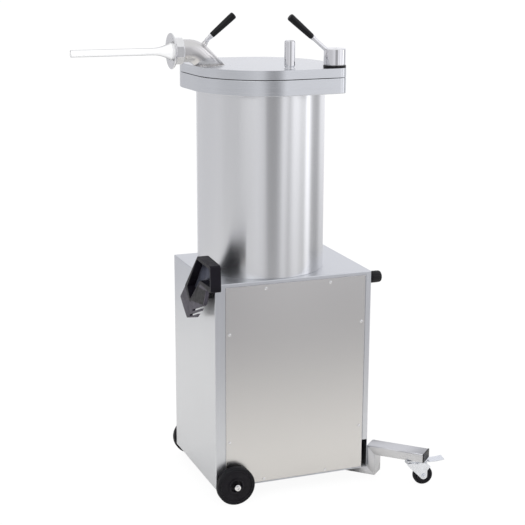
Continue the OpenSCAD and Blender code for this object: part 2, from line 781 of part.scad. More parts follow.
module power_cable() color([0.08, 0.08, 0.08]) {
    translate([rear_x - 12, 100, 110]) along_x() cylinder(r = 9.8, h = 12);
    translate([rear_x, 100, 110]) along_x() cylinder(r = 13, h = 10);
    translate([rear_x + 10, 100, 110]) along_x() cylinder(r = 5, h = 20);
    translate([rear_x + 30, 100, 80]) rotate([90, 0, 0]) rotate_extrude(angle = 90)
        translate([30, 0]) circle(5);
    translate([rear_x + 60, 100, 40]) cylinder(r = 5, h = 40);
    translate([rear_x + 60, 100, 28]) cylinder(r = 14, h = 14);
}

// ---------- power pack ----------

module oil_tank() color("dimgray") difference() {
    span([tank_x, -150, base_z], [tank_x + tank_l, 150, base_z + tank_h]);
    span([tank_x + 3, -147, base_z + 3], [tank_x + tank_l - 3, 147, base_z + tank_h - 3]);
    translate([tank_x + 75, 128, base_z + tank_h - 10]) cylinder(r = 14, h = 20);
}

module tank_filler_cap() color([0.1, 0.1, 0.1]) translate([tank_x + 75, 128, 0]) {
    translate([0, 0, base_z + tank_h - 8]) cylinder(r = 13.8, h = 9);
    translate([0, 0, base_z + tank_h]) cylinder(r = 19, h = 16);
}

motor_y = -150;
motor_l = 150;
bell_l = 40;
pump_y = motor_y + motor_l + bell_l;

module motor_body() color([0.25, 0.3, 0.4]) difference() {
    union() {
        translate([pack_x, motor_y, pack_z]) along_y() cylinder(r = motor_r, h = motor_l);
        span([pack_x - 50, motor_y + 30, base_z + tank_h], [pack_x + 50, motor_y + 120, pack_z]);
    }
    translate([pack_x, motor_y - eps, pack_z]) along_y() {
        cylinder(r = motor_r - 4, h = 28);
        cylinder(r = 9 + run, h = motor_l + 1);
        translate([0, 0, 35]) cylinder(r = 40, h = motor_l - 45);
    }
}

module bell_housing() color("gray") translate([pack_x, motor_y + motor_l, pack_z]) along_y()
    tube(50, 38, bell_l);

gear_gap = gear_r * 2;
module pump_body() color("gray") difference() {
    span([pack_x - 36, pump_y, pack_z - 36], [pack_x + 36, pump_y + 50, pack_z + 36 + gear_gap]);
    for (z = [0, gear_gap]) translate([pack_x, pump_y + 12, pack_z + z]) along_y()
        cylinder(r = gear_r + 4, h = gear_w + 1);
    translate([pack_x, pump_y - eps, pack_z]) along_y() cylinder(r = 9 + run, h = 46);
    translate([pack_x, pump_y + 5, pack_z + gear_gap]) along_y() cylinder(r = 7 + run, h = 40);
}

// Spur gear with straight-sided teeth, thinned so that a pair runs with backlash.
module gear_outline(turn) rotate(turn) {
    circle(gear_r - 4);
    for (i = [0 : gear_teeth - 1]) rotate(i * 360 / gear_teeth) polygon([[gear_r - 5, -2.8],
        [gear_r, -2.2], [gear_r + 3.2, -1], [gear_r + 3.2, 1], [gear_r, 2.2], [gear_r - 5, 2.8]]);
}

module drive_shaft() color("silver") translate([pack_x, 0, pack_z]) {
    translate([0, motor_y + 4, 0]) along_y() cylinder(r = 9, h = pump_y + 40 - motor_y);
    // rotor, coupling and fan
    translate([0, motor_y + 40, 0]) along_y() cylinder(r = 36, h = 90);
    translate([0, motor_y + motor_l + 6, 0]) along_y() cylinder(r = 26, h = 28);
    for (i = [0 : 7]) rotate([0, i * 45, 0]) span([8, motor_y + 6, -1.5], [50, motor_y + 22, 1.5]);
    translate([0, pump_y + 12.5, 0]) along_y() linear_extrude(gear_w) gear_outline(90);
}

module driven_gear() color("silver") translate([pack_x, 0, pack_z + gear_gap]) {
    translate([0, pump_y + 6, 0]) along_y() cylinder(r = 7, h = 38);
    translate([0, pump_y + 12.5, 0]) along_y() linear_extrude(gear_w)
        gear_outline(90 + 180 / gear_teeth);
}

// Pressure pipe and return pipe: level out of the valve block, then down to the pump, with a
// square elbow fitting at each corner.
module oil_pipe(x_end, z) {
    pipe_r = 5;
    pipe_y = 53.5;
    elbow = 8;
    block_x = spool_x + 30;
    pump_top = pack_z + 36 + gear_gap;
    translate([block_x, pipe_y, z]) along_x() cylinder(r = pipe_r, h = x_end - block_x);
    translate([x_end, pipe_y, pump_top]) cylinder(r = pipe_r, h = z - pump_top);
    span([x_end - elbow, pipe_y - 6, z - elbow], [x_end + elbow, pipe_y + 6, z + elbow]);
}

module oil_pipes() color("silver") {
    oil_pipe(130, spool_z - 14);
    oil_pipe(160, spool_z + 8);
}

cabinet_shell();
side_cover_near();
side_cover_far();
cover_screws();
base_plate();
deck_plate();
barrel();
barrel_flange();
clamp_post();
lid_catch();
wheel_axle();
outrigger_arms();
outrigger_caps();
outrigger_bolts();
caster_plates();
hydraulic_cylinder();
cylinder_gland();
cylinder_cap();
tie_rods();
motor_body();
bell_housing();
pump_body();
oil_tank();
tank_filler_cap();
valve_block();
oil_pipes();
electrical_box();
switch_plate();
power_cable();
knee_bush();
piston_rod();
ram_piston();
meat_piston();
piston_seals();
lid_plate();
lid_gasket();
outlet_elbow();
hand_post();
clamp_knob();
clamp_lever();
tap_flap();
tap_lever();
nozzle_nut();
filling_nozzle();
knee_pad();
knee_crank();
valve_spool();
speed_knob();
start_button();
stop_button();
wheel_near();
wheel_far();
caster_fork_near();
caster_fork_far();
brake_near();
brake_far();
caster_wheel_near();
caster_wheel_far();
drive_shaft();
driven_gear();
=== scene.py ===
"""Looks for the sausage stuffer: materials, refined pieces, floor, light and camera.

Everything is in metres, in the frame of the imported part: the origin is on the floor under the
barrel's axis, +Z is up and -X is the operator's side. Lengths written in millimetres are
multiplied by MM.
"""

import json
import math

import bmesh
import bpy
from mathutils import Matrix, Vector


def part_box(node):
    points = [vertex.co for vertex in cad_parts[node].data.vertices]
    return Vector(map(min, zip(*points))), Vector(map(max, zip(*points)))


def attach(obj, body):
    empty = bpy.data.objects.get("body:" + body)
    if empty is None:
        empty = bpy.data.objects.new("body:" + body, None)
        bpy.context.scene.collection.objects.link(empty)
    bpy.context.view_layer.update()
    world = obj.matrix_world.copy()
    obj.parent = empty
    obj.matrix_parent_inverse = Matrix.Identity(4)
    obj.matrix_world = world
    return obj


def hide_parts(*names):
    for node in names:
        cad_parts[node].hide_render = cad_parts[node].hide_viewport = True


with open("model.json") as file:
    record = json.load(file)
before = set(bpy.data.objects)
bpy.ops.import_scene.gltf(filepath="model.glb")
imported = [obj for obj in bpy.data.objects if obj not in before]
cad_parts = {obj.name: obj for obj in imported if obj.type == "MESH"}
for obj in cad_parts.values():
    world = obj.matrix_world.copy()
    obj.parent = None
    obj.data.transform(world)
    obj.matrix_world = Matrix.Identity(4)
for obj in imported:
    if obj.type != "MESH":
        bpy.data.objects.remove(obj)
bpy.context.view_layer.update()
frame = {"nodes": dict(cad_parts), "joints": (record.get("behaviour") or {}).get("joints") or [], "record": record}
scene = bpy.context.scene
MM = 0.001

# ---------- places, all from the frame ----------


def low(node):
    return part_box(node)[0]


def high(node):
    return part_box(node)[1]


def middle(node):
    return (low(node) + high(node)) / 2


def joint(name):
    return next(j for j in frame["joints"] if j["name"] == name)


UP = Vector((0, 0, 1))
LID_TOP = high("lid_plate").z
REAR_WALL = high("cabinet_shell").x
PIPE_Z = middle("nozzle_nut").z

# ---------- mesh helpers ----------


def new_piece(name, verts, faces):
    """A mesh object whose vertices are already in the frame, with its normals facing out."""
    mesh = bpy.data.meshes.new(name)
    mesh.from_pydata([tuple(v) for v in verts], [], faces)
    work = bmesh.new()
    work.from_mesh(mesh)
    bmesh.ops.recalc_face_normals(work, faces=work.faces)
    for face in work.faces:
        face.smooth = True
    work.to_mesh(mesh)
    work.free()
    obj = bpy.data.objects.new(name, mesh)
    scene.collection.objects.link(obj)
    return obj


def turned(origin, axis, side=None):
    """Matrix that puts local +Z along axis and local +X near side."""
    z = Vector(axis).normalized()
    x = Vector(side) if side else z.orthogonal()
    x = (x - z * x.dot(z)).normalized()
    matrix = Matrix((x, z.cross(x), z)).transposed().to_4x4()
    matrix.translation = Vector(origin)
    return matrix


def round_corners(points, radius, steps=4, closed=False):
    """The same outline with every corner turned into a small curve."""
    count = len(points)
    result = []
    for i, point in enumerate(points):
        here = Vector(point)
        if not closed and i in (0, count - 1):
            result.append(here)
            continue
        before = Vector(points[i - 1]) - here
        after = Vector(points[(i + 1) % count]) - here
        start = here + before.normalized() * min(radius, before.length * 0.45)
        end = here + after.normalized() * min(radius, after.length * 0.45)
        for k in range(steps + 1):
            t = k / steps
            result.append((1 - t) ** 2 * start + 2 * t * (1 - t) * here + t * t * end)
    return result


def turns(count):
    """Angles of count equal steps round a circle."""
    return [2 * math.pi * k / count for k in range(count)]


def polar(matrix, r, a, h):
    """Point at radius r, angle a and height h about the matrix's +Z, in millimetres."""
    return matrix @ (Vector((r * math.cos(a), r * math.sin(a), h)) * MM)


def lathe(name, profile, matrix, radius=1.0, segments=96, closed=False):
    """Turned piece: profile holds (radius, height) in millimetres along the matrix's +Z."""
    points = round_corners(profile, radius, closed=closed)
    verts = []
    rings = []
    for r, h in points:
        angles = turns(segments) if r > 1e-6 else [0]
        rings.append(list(range(len(verts), len(verts) + len(angles))))
        verts += [polar(matrix, r, a, h) for a in angles]
    pairs = list(zip(rings, rings[1:]))
    if closed:
        pairs.append((rings[-1], rings[0]))
    faces = []
    for one, two in pairs:
        for k in range(segments):
            n = (k + 1) % segments
            if len(one) == 1 and len(two) == 1:
                continue
            if len(one) == 1:
                faces.append((one[0], two[k], two[n]))
            elif len(two) == 1:
                faces.append((one[k], two[0], one[n]))
            else:
                faces.append((one[k], one[n], two[n], two[k]))
    return new_piece(name, verts, faces)


def loft(name, rings, caps=True):
    """Skin over rings of equal length, with flat ends where caps is true."""
    verts = [v for ring in rings for v in ring]
    size = len(rings[0])
    faces = []
    for i in range(len(rings) - 1):
        for k in range(size):
            n = (k + 1) % size
            faces.append((i * size + k, i * size + n, (i + 1) * size + n, (i + 1) * size + k))
    if caps:
        faces.append(tuple(range(size)))
        faces.append(tuple(range((len(rings) - 1) * size, len(rings) * size)))
    return new_piece(name, verts, faces)


def circle_ring(centre, axis, radius, segments=64, side=(0, 1, 0)):
    """Circle of points about an axis, the first of them near side."""
    matrix = turned(centre, axis, side)
    return [polar(matrix, radius / MM, a, 0) for a in turns(segments)]


def pipe(name, points, radius, segments=24):
    """Round bar along a path of points in one plane or nearly so."""
    points = [Vector(p) for p in points]
    side = Vector((0.31, 0.95, 0.02))
    rings = []
    for i, point in enumerate(points):
        ahead = points[min(i + 1, len(points) - 1)] - points[max(i - 1, 0)]
        rings.append(circle_ring(point, ahead, radius, segments, side))
    return loft(name, rings)


def prism(name, outline, matrix, height, radius=0.0):
    """Outline of (x, y) in millimetres, raised by height along the matrix's +Z."""
    points = round_corners(outline, radius, closed=True) if radius else outline
    rings = [[matrix @ (Vector((p[0], p[1], h)) * MM) for p in points] for h in (0, height)]
    return loft(name, rings)


def block(name, a, b):
    """Box between two corners in millimetres, to be softened or cut."""
    plan = ((a[0], a[1]), (b[0], a[1]), (b[0], b[1]), (a[0], b[1]))
    rings = [[Vector((x, y, z)) * MM for x, y in plan] for z in (a[2], b[2])]
    return loft(name, rings)


def cut(obj, tools):
    """Takes the tools' shapes out of obj."""
    for tool in tools:
        step = obj.modifiers.new("cut", "BOOLEAN")
        step.object = tool
        step.operation = "DIFFERENCE"
        step.solver = "EXACT"
    bpy.context.view_layer.update()
    graph = bpy.context.evaluated_depsgraph_get()
    shape = bpy.data.meshes.new_from_object(obj.evaluated_get(graph))
    obj.modifiers.clear()
    obj.data = shape
    for tool in tools:
        bpy.data.objects.remove(tool)
    return obj


def join(name, pieces):
    """One object from several pieces."""
    work = bmesh.new()
    for piece in pieces:
        work.from_mesh(piece.data)
        bpy.data.objects.remove(piece)
    mesh = bpy.data.meshes.new(name)
    work.to_mesh(mesh)
    work.free()
    obj = bpy.data.objects.new(name, mesh)
    scene.collection.objects.link(obj)
    return obj


def soften(obj, width, segments=3, angle=25):
    """Rounded edges and even shading, by modifiers only."""
    mesh = obj.data
    if "custom_normal" in mesh.attributes:
        mesh.attributes.remove(mesh.attributes["custom_normal"])
    for face in mesh.polygons:
        face.use_smooth = True
    weld = obj.modifiers.new("weld", "WELD")
    weld.merge_threshold = 1e-5
    bevel = obj.modifiers.new("edge", "BEVEL")
    bevel.width = width * MM
    bevel.segments = segments
    bevel.limit_method = "ANGLE"
    bevel.angle_limit = math.radians(angle)
    bevel.use_clamp_overlap = True
    even = obj.modifiers.new("even", "WEIGHTED_NORMAL")
    even.keep_sharp = False
    even.weight = 100


def place(obj, body, slot, stands_for=(), material=None):
    """Gives a new piece its material and its body, and hides the CAD nodes it stands for."""
    obj.data.materials.clear()
    obj.data.materials.append(material or FINISH[slot])
    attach(obj, body)
    if stands_for:
        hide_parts(*stands_for)
    return obj


# ---------- material helpers ----------


class Surface:
    """A principled node material in the making."""

    def __init__(self, name, color, roughness, metallic=0.0):
        self.material = bpy.data.materials.new(name)
        self.material.use_nodes = True
        self.tree = self.material.node_tree
        self.shader = self.tree.nodes["Principled BSDF"]
        self.color = color
        self.roughness = roughness
        self.bumps = None
        self.shader.inputs["Base Color"].default_value = (*color, 1)
        self.shader.inputs["Roughness"].default_value = roughness
        self.shader.inputs["Metallic"].default_value = metallic
        self.place = self.add("ShaderNodeTexCoord").outputs["Object"]

    def add(self, kind, **inputs):
        node = self.tree.nodes.new(kind)
        for name, value in inputs.items():
            node.inputs[name.replace("_", " ")].default_value = value
        return node

    def join(self, source, target):
        self.tree.links.new(source, target)

    def combine(self, operation, one, two):
        """Result of a math node fed by two sockets."""
        node = self.add("ShaderNodeMath")
        node.operation = operation
        self.join(one, node.inputs[0])
        self.join(two, node.inputs[1])
        return node.outputs["Value"]

    def axes(self):
        """Sockets of the place's X, Y and Z, in metres."""
        split = self.add("ShaderNodeSeparateXYZ")
        self.join(self.place, split.inputs[0])
        return split.outputs

    def noise(self, scale, detail=3.0, rotation=(0, 0, 0)):
        """Noise in the frame, with its own scale along each axis, per metre."""
        mapping = self.add("ShaderNodeMapping", Scale=scale, Rotation=rotation)
        noise = self.add("ShaderNodeTexNoise", Scale=1.0, Detail=detail)
        self.join(self.place, mapping.inputs["Vector"])
        self.join(mapping.outputs["Vector"], noise.inputs["Vector"])
        return noise.outputs["Fac"]

    def spread(self, value, low_end, high_end, start=0.3, stop=0.7):
        node = self.add("ShaderNodeMapRange", From_Min=start, From_Max=stop,
                        To_Min=low_end, To_Max=high_end)
        self.join(value, node.inputs["Value"])
        return node.outputs["Result"]

    def rough(self, value, amount):
        """Roughness that varies by amount about its middle."""
        result = self.spread(value, self.roughness - amount, self.roughness + amount)
        self.join(result, self.shader.inputs["Roughness"])

    def mix(self, value, one, two):
        node = self.tree.nodes.new("ShaderNodeMix")
        node.data_type = "RGBA"
        for socket, colour in ((node.inputs[6], one), (node.inputs[7], two)):
            if isinstance(colour, tuple):
                socket.default_value = (*colour, 1)
            else:
                self.join(colour, socket)
        self.join(value, node.inputs[0])
        return node.outputs[2]

    def paint(self, colour):
        self.join(colour, self.shader.inputs["Base Color"])

    def shade(self, value, amount):
        """Base colour lightened and darkened by amount as value varies."""
        dark = tuple(c * (1 - amount) for c in self.color)
        light = tuple(min(1.0, c * (1 + amount)) for c in self.color)
        colour = self.mix(self.spread(value, 0, 1), dark, light)
        self.paint(colour)
        return colour

    def bump(self, value, height):
        """Relief of height millimetres."""
        node = self.add("ShaderNodeBump", Strength=1.0, Distance=height * MM)
        self.join(value, node.inputs["Height"])
        if self.bumps:
            self.join(self.bumps, node.inputs["Normal"])
        self.bumps = node.outputs["Normal"]
        self.join(self.bumps, self.shader.inputs["Normal"])

    def edges(self, radius):
        """About 1 on edges narrower than radius millimetres, and 0 on flat ground."""
        soft = self.add("ShaderNodeBevel", Radius=radius * MM)
        soft.samples = 6
        plain = self.add("ShaderNodeNewGeometry")
        dot = self.tree.nodes.new("ShaderNodeVectorMath")
        dot.operation = "DOT_PRODUCT"
        self.join(soft.outputs["Normal"], dot.inputs[0])
        self.join(plain.outputs["Normal"], dot.inputs[1])
        return self.spread(dot.outputs["Value"], 1, 0, 0.7, 0.97)


# ---------- materials ----------

# Scratches per metre along each axis.
ALONG_Z = (700, 700, 3)
ROUND = (3, 3, 900)


def steel(name, color, roughness, grain, contrast=0.05, relief=0.004, clouds=0.03):
    """Brushed stainless steel: fine scratches along one direction over faint clouds."""
    surface = Surface(name, color, roughness, metallic=1.0)
    scratches = surface.noise(grain, 4)
    patches = surface.noise((5, 5, 5), 2)
    lines = surface.shade(scratches, contrast)
    dark = tuple(c * (1 - clouds) for c in color)
    veil = surface.mix(surface.spread(patches, 0, 0.5), lines, dark)
    surface.paint(veil)
    surface.rough(scratches, roughness * contrast * 5)
    if relief:
        surface.bump(scratches, relief)
    return surface.material


def polished_barrel():
    """Steel polished round the barrel, so that reflections are drawn out along its height."""
    surface = Surface("barrel_steel", (0.74, 0.745, 0.755), 0.24, metallic=1.0)
    surface.shader.inputs["Anisotropic"].default_value = 0.85
    surface.shader.inputs["Anisotropic Rotation"].default_value = 0.25
    tangent = surface.tree.nodes.new("ShaderNodeTangent")
    tangent.direction_type = "RADIAL"
    tangent.axis = "Z"
    surface.join(tangent.outputs["Tangent"], surface.shader.inputs["Tangent"])
    scratches = surface.noise(ALONG_Z, 4)
    surface.shade(scratches, 0.015)
    surface.rough(scratches, 0.01)
    return surface.material


def chrome(name="chrome", color=(0.78, 0.78, 0.80), roughness=0.09):
    """Bright metal with faint smudges."""
    surface = Surface(name, color, roughness, metallic=1.0)
    smudge = surface.noise((60, 60, 25), 3)
    surface.shade(smudge, 0.02)
    surface.rough(smudge, roughness * 0.4)
    return surface.material


def zinc():
    """Zinc plate with a faint mottle."""
    surface = Surface("zinc", (0.74, 0.76, 0.80), 0.3, metallic=1.0)
    spangle = surface.noise((140, 140, 140), 3)
    surface.shade(spangle, 0.08)
    surface.rough(spangle, 0.08)
    surface.bump(surface.noise((500, 500, 500), 2), 0.01)
    return surface.material


def paint(name, color, roughness=0.38):
    """Sprayed paint with a slight orange peel."""
    surface = Surface(name, color, roughness)
    surface.shade(surface.noise((14, 14, 14), 3), 0.08)
    surface.rough(surface.noise((40, 40, 40), 2), 0.06)
    surface.bump(surface.noise((450, 450, 450), 2), 0.03)
    return surface.material


def cast():
    """Rough skin of a casting."""
    surface = Surface("cast_metal", (0.55, 0.56, 0.57), 0.5, metallic=0.9)
    skin = surface.noise((320, 320, 320), 5)
    surface.shade(skin, 0.12)
    surface.rough(skin, 0.1)
    surface.bump(skin, 0.12)
    return surface.material


def plastic(name, color, roughness, relief=0.03, scale=900, variation=0.25, gloss=0.3):
    """Moulded plastic with a fine grain. gloss is the strength of its mirror layer."""
    surface = Surface(name, color, roughness)
    surface.shader.inputs["Specular IOR Level"].default_value = gloss
    grain = surface.noise((scale, scale, scale), 2)
    surface.shade(surface.noise((30, 30, 30), 4), variation)
    surface.rough(surface.noise((70, 70, 70), 3), roughness * 0.2)
    surface.bump(grain, relief)
    return surface.material


def pad_plastic(name, color, relief=0.05):
    """Black elastomer with a painted highlight along its rounded edges."""
    surface = Surface(name, color, 0.45)
    surface.shader.inputs["Specular IOR Level"].default_value = 0.15
    fine = surface.noise((1100, 1100, 1100), 2)
    highlight_and_roughness_noise = surface.noise((120, 120, 120), 4)
    ground = surface.shade(surface.noise((24, 24, 24), 4), 0.35)
    # Painted highlight: the edges found by the bevel mask take a pale colour, patchy by noise.
    edge = surface.combine("MULTIPLY", surface.edges(1.6), surface.spread(highlight_and_roughness_noise, 0.25, 0.8))
    surface.paint(surface.mix(edge, ground, (0.24, 0.22, 0.27)))
    surface.rough(highlight_and_roughness_noise, 0.08)
    surface.bump(fine, relief)
    return surface.material


def rubber(name, color):
    """Dull rubber with a fine grain."""
    surface = Surface(name, color, 0.6)
    surface.shader.inputs["Specular IOR Level"].default_value = 0.18
    surface.shade(surface.noise((60, 60, 60), 4), 0.35)
    surface.rough(surface.noise((200, 200, 200), 3), 0.1)
    surface.bump(surface.noise((700, 700, 700), 3), 0.04)
    return surface.material


def milky():
    """White, slightly see-through plastic of the filling nozzle, with painted shade where it turns away."""
    surface = Surface("white_plastic", (0.95, 0.95, 0.95), 0.4)
    surface.shader.inputs["Specular IOR Level"].default_value = 0.2
    clouds = surface.shade(surface.noise((18, 18, 18), 3), 0.01)
    # Painted shade: grey mixed in where the surface turns away from the view.
    facing = surface.add("ShaderNodeLayerWeight", Blend=0.5).outputs["Facing"]
    rim = surface.spread(facing, 0, 1, 0.3, 0.75)
    surface.paint(surface.mix(rim, clouds, (0.42, 0.42, 0.43)))
    surface.rough(surface.noise((90, 90, 90), 2), 0.05)
    surface.shader.inputs["Subsurface Weight"].default_value = 0.15
    surface.shader.inputs["Subsurface Radius"].default_value = (0.004, 0.004, 0.004)
    return surface.material


FINISH = {
    "steel_sheet": steel("steel_sheet", (0.635, 0.65, 0.68), 0.34, ALONG_Z, 0.02, 0.001),
    "steel_panel": steel("steel_panel", (0.66, 0.65, 0.64), 0.27, ALONG_Z, 0.002, 0.0, 0.01),
    "barrel_steel": polished_barrel(),
    "flange_steel": steel("flange_steel", (0.66, 0.675, 0.70), 0.25, ROUND, 0.02, 0.0012),
    "elbow_steel": steel("elbow_steel", (0.66, 0.65, 0.65), 0.24, (40, 40, 40), 0.01, 0.0, 0.0),
    "tube_steel": steel("tube_steel", (0.60, 0.605, 0.625), 0.33, (60, 60, 60), 0.04),
    "screw_steel": steel("screw_steel", (0.78, 0.78, 0.79), 0.18, (300, 300, 300), 0.04),
    "frame_steel": paint("frame_steel", (0.16, 0.165, 0.17), 0.5),
    "chrome": chrome(),
    "zinc": zinc(),
    "painted_grey": paint("painted_grey", (0.16, 0.17, 0.185)),
    "painted_blue": paint("painted_blue", (0.05, 0.09, 0.17)),
    "cast_metal": cast(),
    "black_plastic": plastic("black_plastic", (0.004, 0.004, 0.005), 0.36, gloss=0.22),
    "pad_plastic": pad_plastic("pad_plastic", (0.006, 0.005, 0.009)),
    "wheel_plastic": plastic("wheel_plastic", (0.006, 0.005, 0.008), 0.4, gloss=0.22),
    "wheel_rubber": rubber("wheel_rubber", (0.007, 0.007, 0.009)),
    "black_rubber": rubber("black_rubber", (0.02, 0.02, 0.02)),
    "grey_plastic": plastic("grey_plastic", (0.45, 0.45, 0.45), 0.45, variation=0.05),
    "white_plastic": milky(),
    "green_plastic": plastic("green_plastic", (0.02, 0.25, 0.06), 0.3, variation=0.1),
    "red_plastic": plastic("red_plastic", (0.45, 0.012, 0.012), 0.3, variation=0.1),
}


def paint_nodes():
    """Each CAD node takes the material of the slot that the record gives it."""
    for part in frame["record"]["subparts"]:
        mesh = frame["nodes"][part["node"]].data
        mesh.materials.clear()
        mesh.materials.append(FINISH[part["material_slot"]])


# Widths of rounded edges in millimetres.
EDGE_WIDTHS = {
    "barrel": 0.8, "barrel_flange": 1.8, "lid_plate": 1.8, "meat_piston": 1.0,
    "switch_plate": 1.0, "outrigger_bolts": 0.6, "outrigger_caps": 0.8, "caster_plates": 0.5,
    "cylinder_gland": 0.8, "base_plate": 0.6, "deck_plate": 0.8, "knee_bush": 0.8,
    "oil_tank": 3.0, "electrical_box": 1.5, "valve_block": 1.2, "pump_body": 2.0,
    "knee_crank": 0.8,
}


def soften_nodes():
    """Rounded edges on the CAD nodes that are seen as they are."""
    for name, width in EDGE_WIDTHS.items():
        soften(frame["nodes"][name], width)


# ---------- cabinet ----------

SHEET = 2
LIP = 16
BEND_RADIUS = 2.4
# Each rear corner is cut away at the foot, where the outrigger comes out.
NOTCH_DEPTH = 25
NOTCH_HEIGHT = 82


def corners(node):
    """Lowest and highest corners of a node, in millimetres."""
    return [Vector(corner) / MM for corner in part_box(node)]


def bent_box(a, b, radius):
    """Box whose upright and top edges are bent over a radius."""
    box = block("cabinet_box", a, b)
    work = bmesh.new()
    work.from_mesh(box.data)
    foot = a.z * MM + 1e-6
    edges = [edge for edge in work.edges if max(vert.co.z for vert in edge.verts) > foot]
    bmesh.ops.bevel(work, geom=edges, offset=radius * MM, segments=4, profile=0.5,
                    affect="EDGES")
    work.to_mesh(box.data)
    work.free()
    return box


def cabinet():
    """Folded sheet box, open below, with a recessed frame round the opening on each side."""
    a, b = corners("cabinet_shell")
    c0, c1 = corners("side_cover_near")
    shell = bent_box(a, b, BEND_RADIUS)
    tools = [block("room", (a.x + SHEET, a.y + 2 * SHEET, a.z - 10),
                   (b.x - SHEET, b.y - 2 * SHEET, b.z - SHEET))]
    for side in (-1, 1):
        face = side * b.y
        ys = sorted((face - side * SHEET, face + side * 5))
        tools.append(block("recess", (c0.x - 1, ys[0], c0.z - 1), (c1.x + 1, ys[1], c1.z + 1.2)))
        ys = sorted((face - side * 3 * SHEET, face + side * 5))
        tools.append(block("opening", (c0.x + LIP, ys[0], c0.z + LIP),
                           (c1.x - LIP, ys[1], c1.z - LIP)))
        ys = sorted((face - side * NOTCH_DEPTH, face + side * 5))
        tools.append(block("notch", (c1.x + 0.2, ys[0], a.z - 5),
                           (b.x - SHEET, ys[1], a.z + NOTCH_HEIGHT)))
    cut(shell, tools)
    soften(shell, 0.5)
    place(shell, "root", "steel_sheet", ("cabinet_shell",))


def covers():
    """Side panels, with a fine gap all round."""
    gap = Vector((0.9, 0, 1.0))
    for name in ("side_cover_near", "side_cover_far"):
        a, b = corners(name)
        plate = block(name + "_plate", a + gap, b - gap)
        soften(plate, 0.7)
        place(plate, "root", "steel_panel", (name,))


def islands(node):
    """Middle of each separate solid of a node, in a fixed order."""
    work = bmesh.new()
    work.from_mesh(frame["nodes"][node].data)
    bmesh.ops.remove_doubles(work, verts=work.verts, dist=1e-6)
    to_frame = frame["nodes"][node].matrix_world
    left = set(work.verts)
    middles = []
    while left:
        group = []
        front = [left.pop()]
        while front:
            vert = front.pop()
            group.append(to_frame @ vert.co)
            for edge in vert.link_edges:
                other = edge.other_vert(vert)
                if other in left:
                    left.remove(other)
                    front.append(other)
        middles.append(Vector([(min(p[k] for p in group) + max(p[k] for p in group)) / 2
                               for k in range(3)]))
    work.free()
    return sorted(middles, key=tuple)


def screws():
    """Low domed heads with a hexagon socket."""
    profile = [(0, -3), (2, -3), (2, 0), (4.2, 0), (4.1, 1), (2.8, 1.8), (1.8, 1.9), (1.6, 0.8),
               (0, 0.7)]
    face = high("side_cover_far").y
    heads = []
    for spot in islands("cover_screws"):
        side = 1 if spot.y > 0 else -1
        heads.append(lathe("screw_head", profile, turned((spot.x, side * face, spot.z),
                                                         (0, side, 0)), 0.4, 24))
    place(join("cover_screw_heads", heads), "root", "screw_steel", ("cover_screws",))


# ---------- knee pad ----------

# Outlines seen from the front: x runs towards +Y and y up, in millimetres.
PAD_BOX = [(-140, 672), (-242, 668), (-244, 599), (-158, 602), (-140, 587), (-72, 530),
           (-28, 565)]
PAD_POCKET = [(-133, 661), (-236, 659), (-237, 614), (-157, 612), (-138, 595), (-73, 541),
              (-50, 570)]
PAD_BLADE = [(-157, 606), (-210, 603), (-186, 554), (-165, 540), (-114, 502), (-44, 482),
             (-15, 503), (12, 526), (-30, 564.5), (-72.5, 535), (-139, 591)]
PAD_GRIP = [(-141, 592), (-206, 597), (-180, 553), (-80, 538)]
PAD_SLOTS = [((-92, 515), (-180, 548)), ((-69, 495), (-150, 526))]
PAD_SLOT_WIDTH = 5.2


def pad_matrix(depth):
    """Local x runs towards +Y, local y up, and local z into the pad, from depth behind its front."""
    return turned((low("knee_pad").x + depth * MM, 0, 0), (1, 0, 0), (0, 1, 0))


def knee_pad():
    """Moulded pad: a pocket with a thin rim, over a grip and a thin blade with two slots."""
    deep = (high("knee_pad").x - low("knee_pad").x) / MM
    floor_at = deep - 6
    outer = round_corners(PAD_BOX, 7, 5, closed=True)
    inner = round_corners(PAD_POCKET, 4, 5, closed=True)
    rings = []
    for outline, depth in ((outer, deep), (outer, 0), (inner, 0), (inner, floor_at)):
        matrix = pad_matrix(depth)
        rings.append([matrix @ (Vector((q[0], q[1], 0)) * MM) for q in outline])
    box = loft("pad_box", rings)
    soften(box, 1.1, 3, 40)
    place(box, "knee", "pad_plastic", ("knee_pad",))
    # The plate on the pocket's floor is coloured a lighter blue-grey than the rest of the pad.
    pocket_floor = prism("pad_pocket_floor", PAD_POCKET, pad_matrix(floor_at - 0.6), 0.8, 4)
    place(pocket_floor, "knee", "pad_plastic",
          material=pad_plastic("pad_pocket_floor_plastic", (0.085, 0.09, 0.12), 0.02))
    blade = prism("pad_blade", PAD_BLADE, pad_matrix(0.3), 8.7, 3)
    slots = []
    for one, two in PAD_SLOTS:
        way = (Vector(two) - Vector(one)).normalized()
        side = Vector((-way.y, way.x)) * PAD_SLOT_WIDTH / 2
        ends = [Vector(one) + side, Vector(two) + side, Vector(two) - side, Vector(one) - side]
        slots.append(prism("slot", ends, pad_matrix(-5), 20))
    cut(blade, slots)
    soften(blade, 1.3, 3, 40)
    # Painted sheen: the blade's base colour is lighter than the rest of the pad.
    place(blade, "knee", "pad_plastic",
          material=pad_plastic("pad_blade_sheen_plastic", (0.055, 0.05, 0.065)))
    grip = prism("pad_grip", PAD_GRIP, pad_matrix(0), 12, 2)
    soften(grip, 0.8, 2, 40)
    place(grip, "knee", "pad_plastic",
          material=pad_plastic("pad_grip_plastic", (0.005, 0.004, 0.007), 0.12))


# ---------- levers and clamp knob ----------


LEVER_TILT = math.radians(50)
ROD_R = 5.5


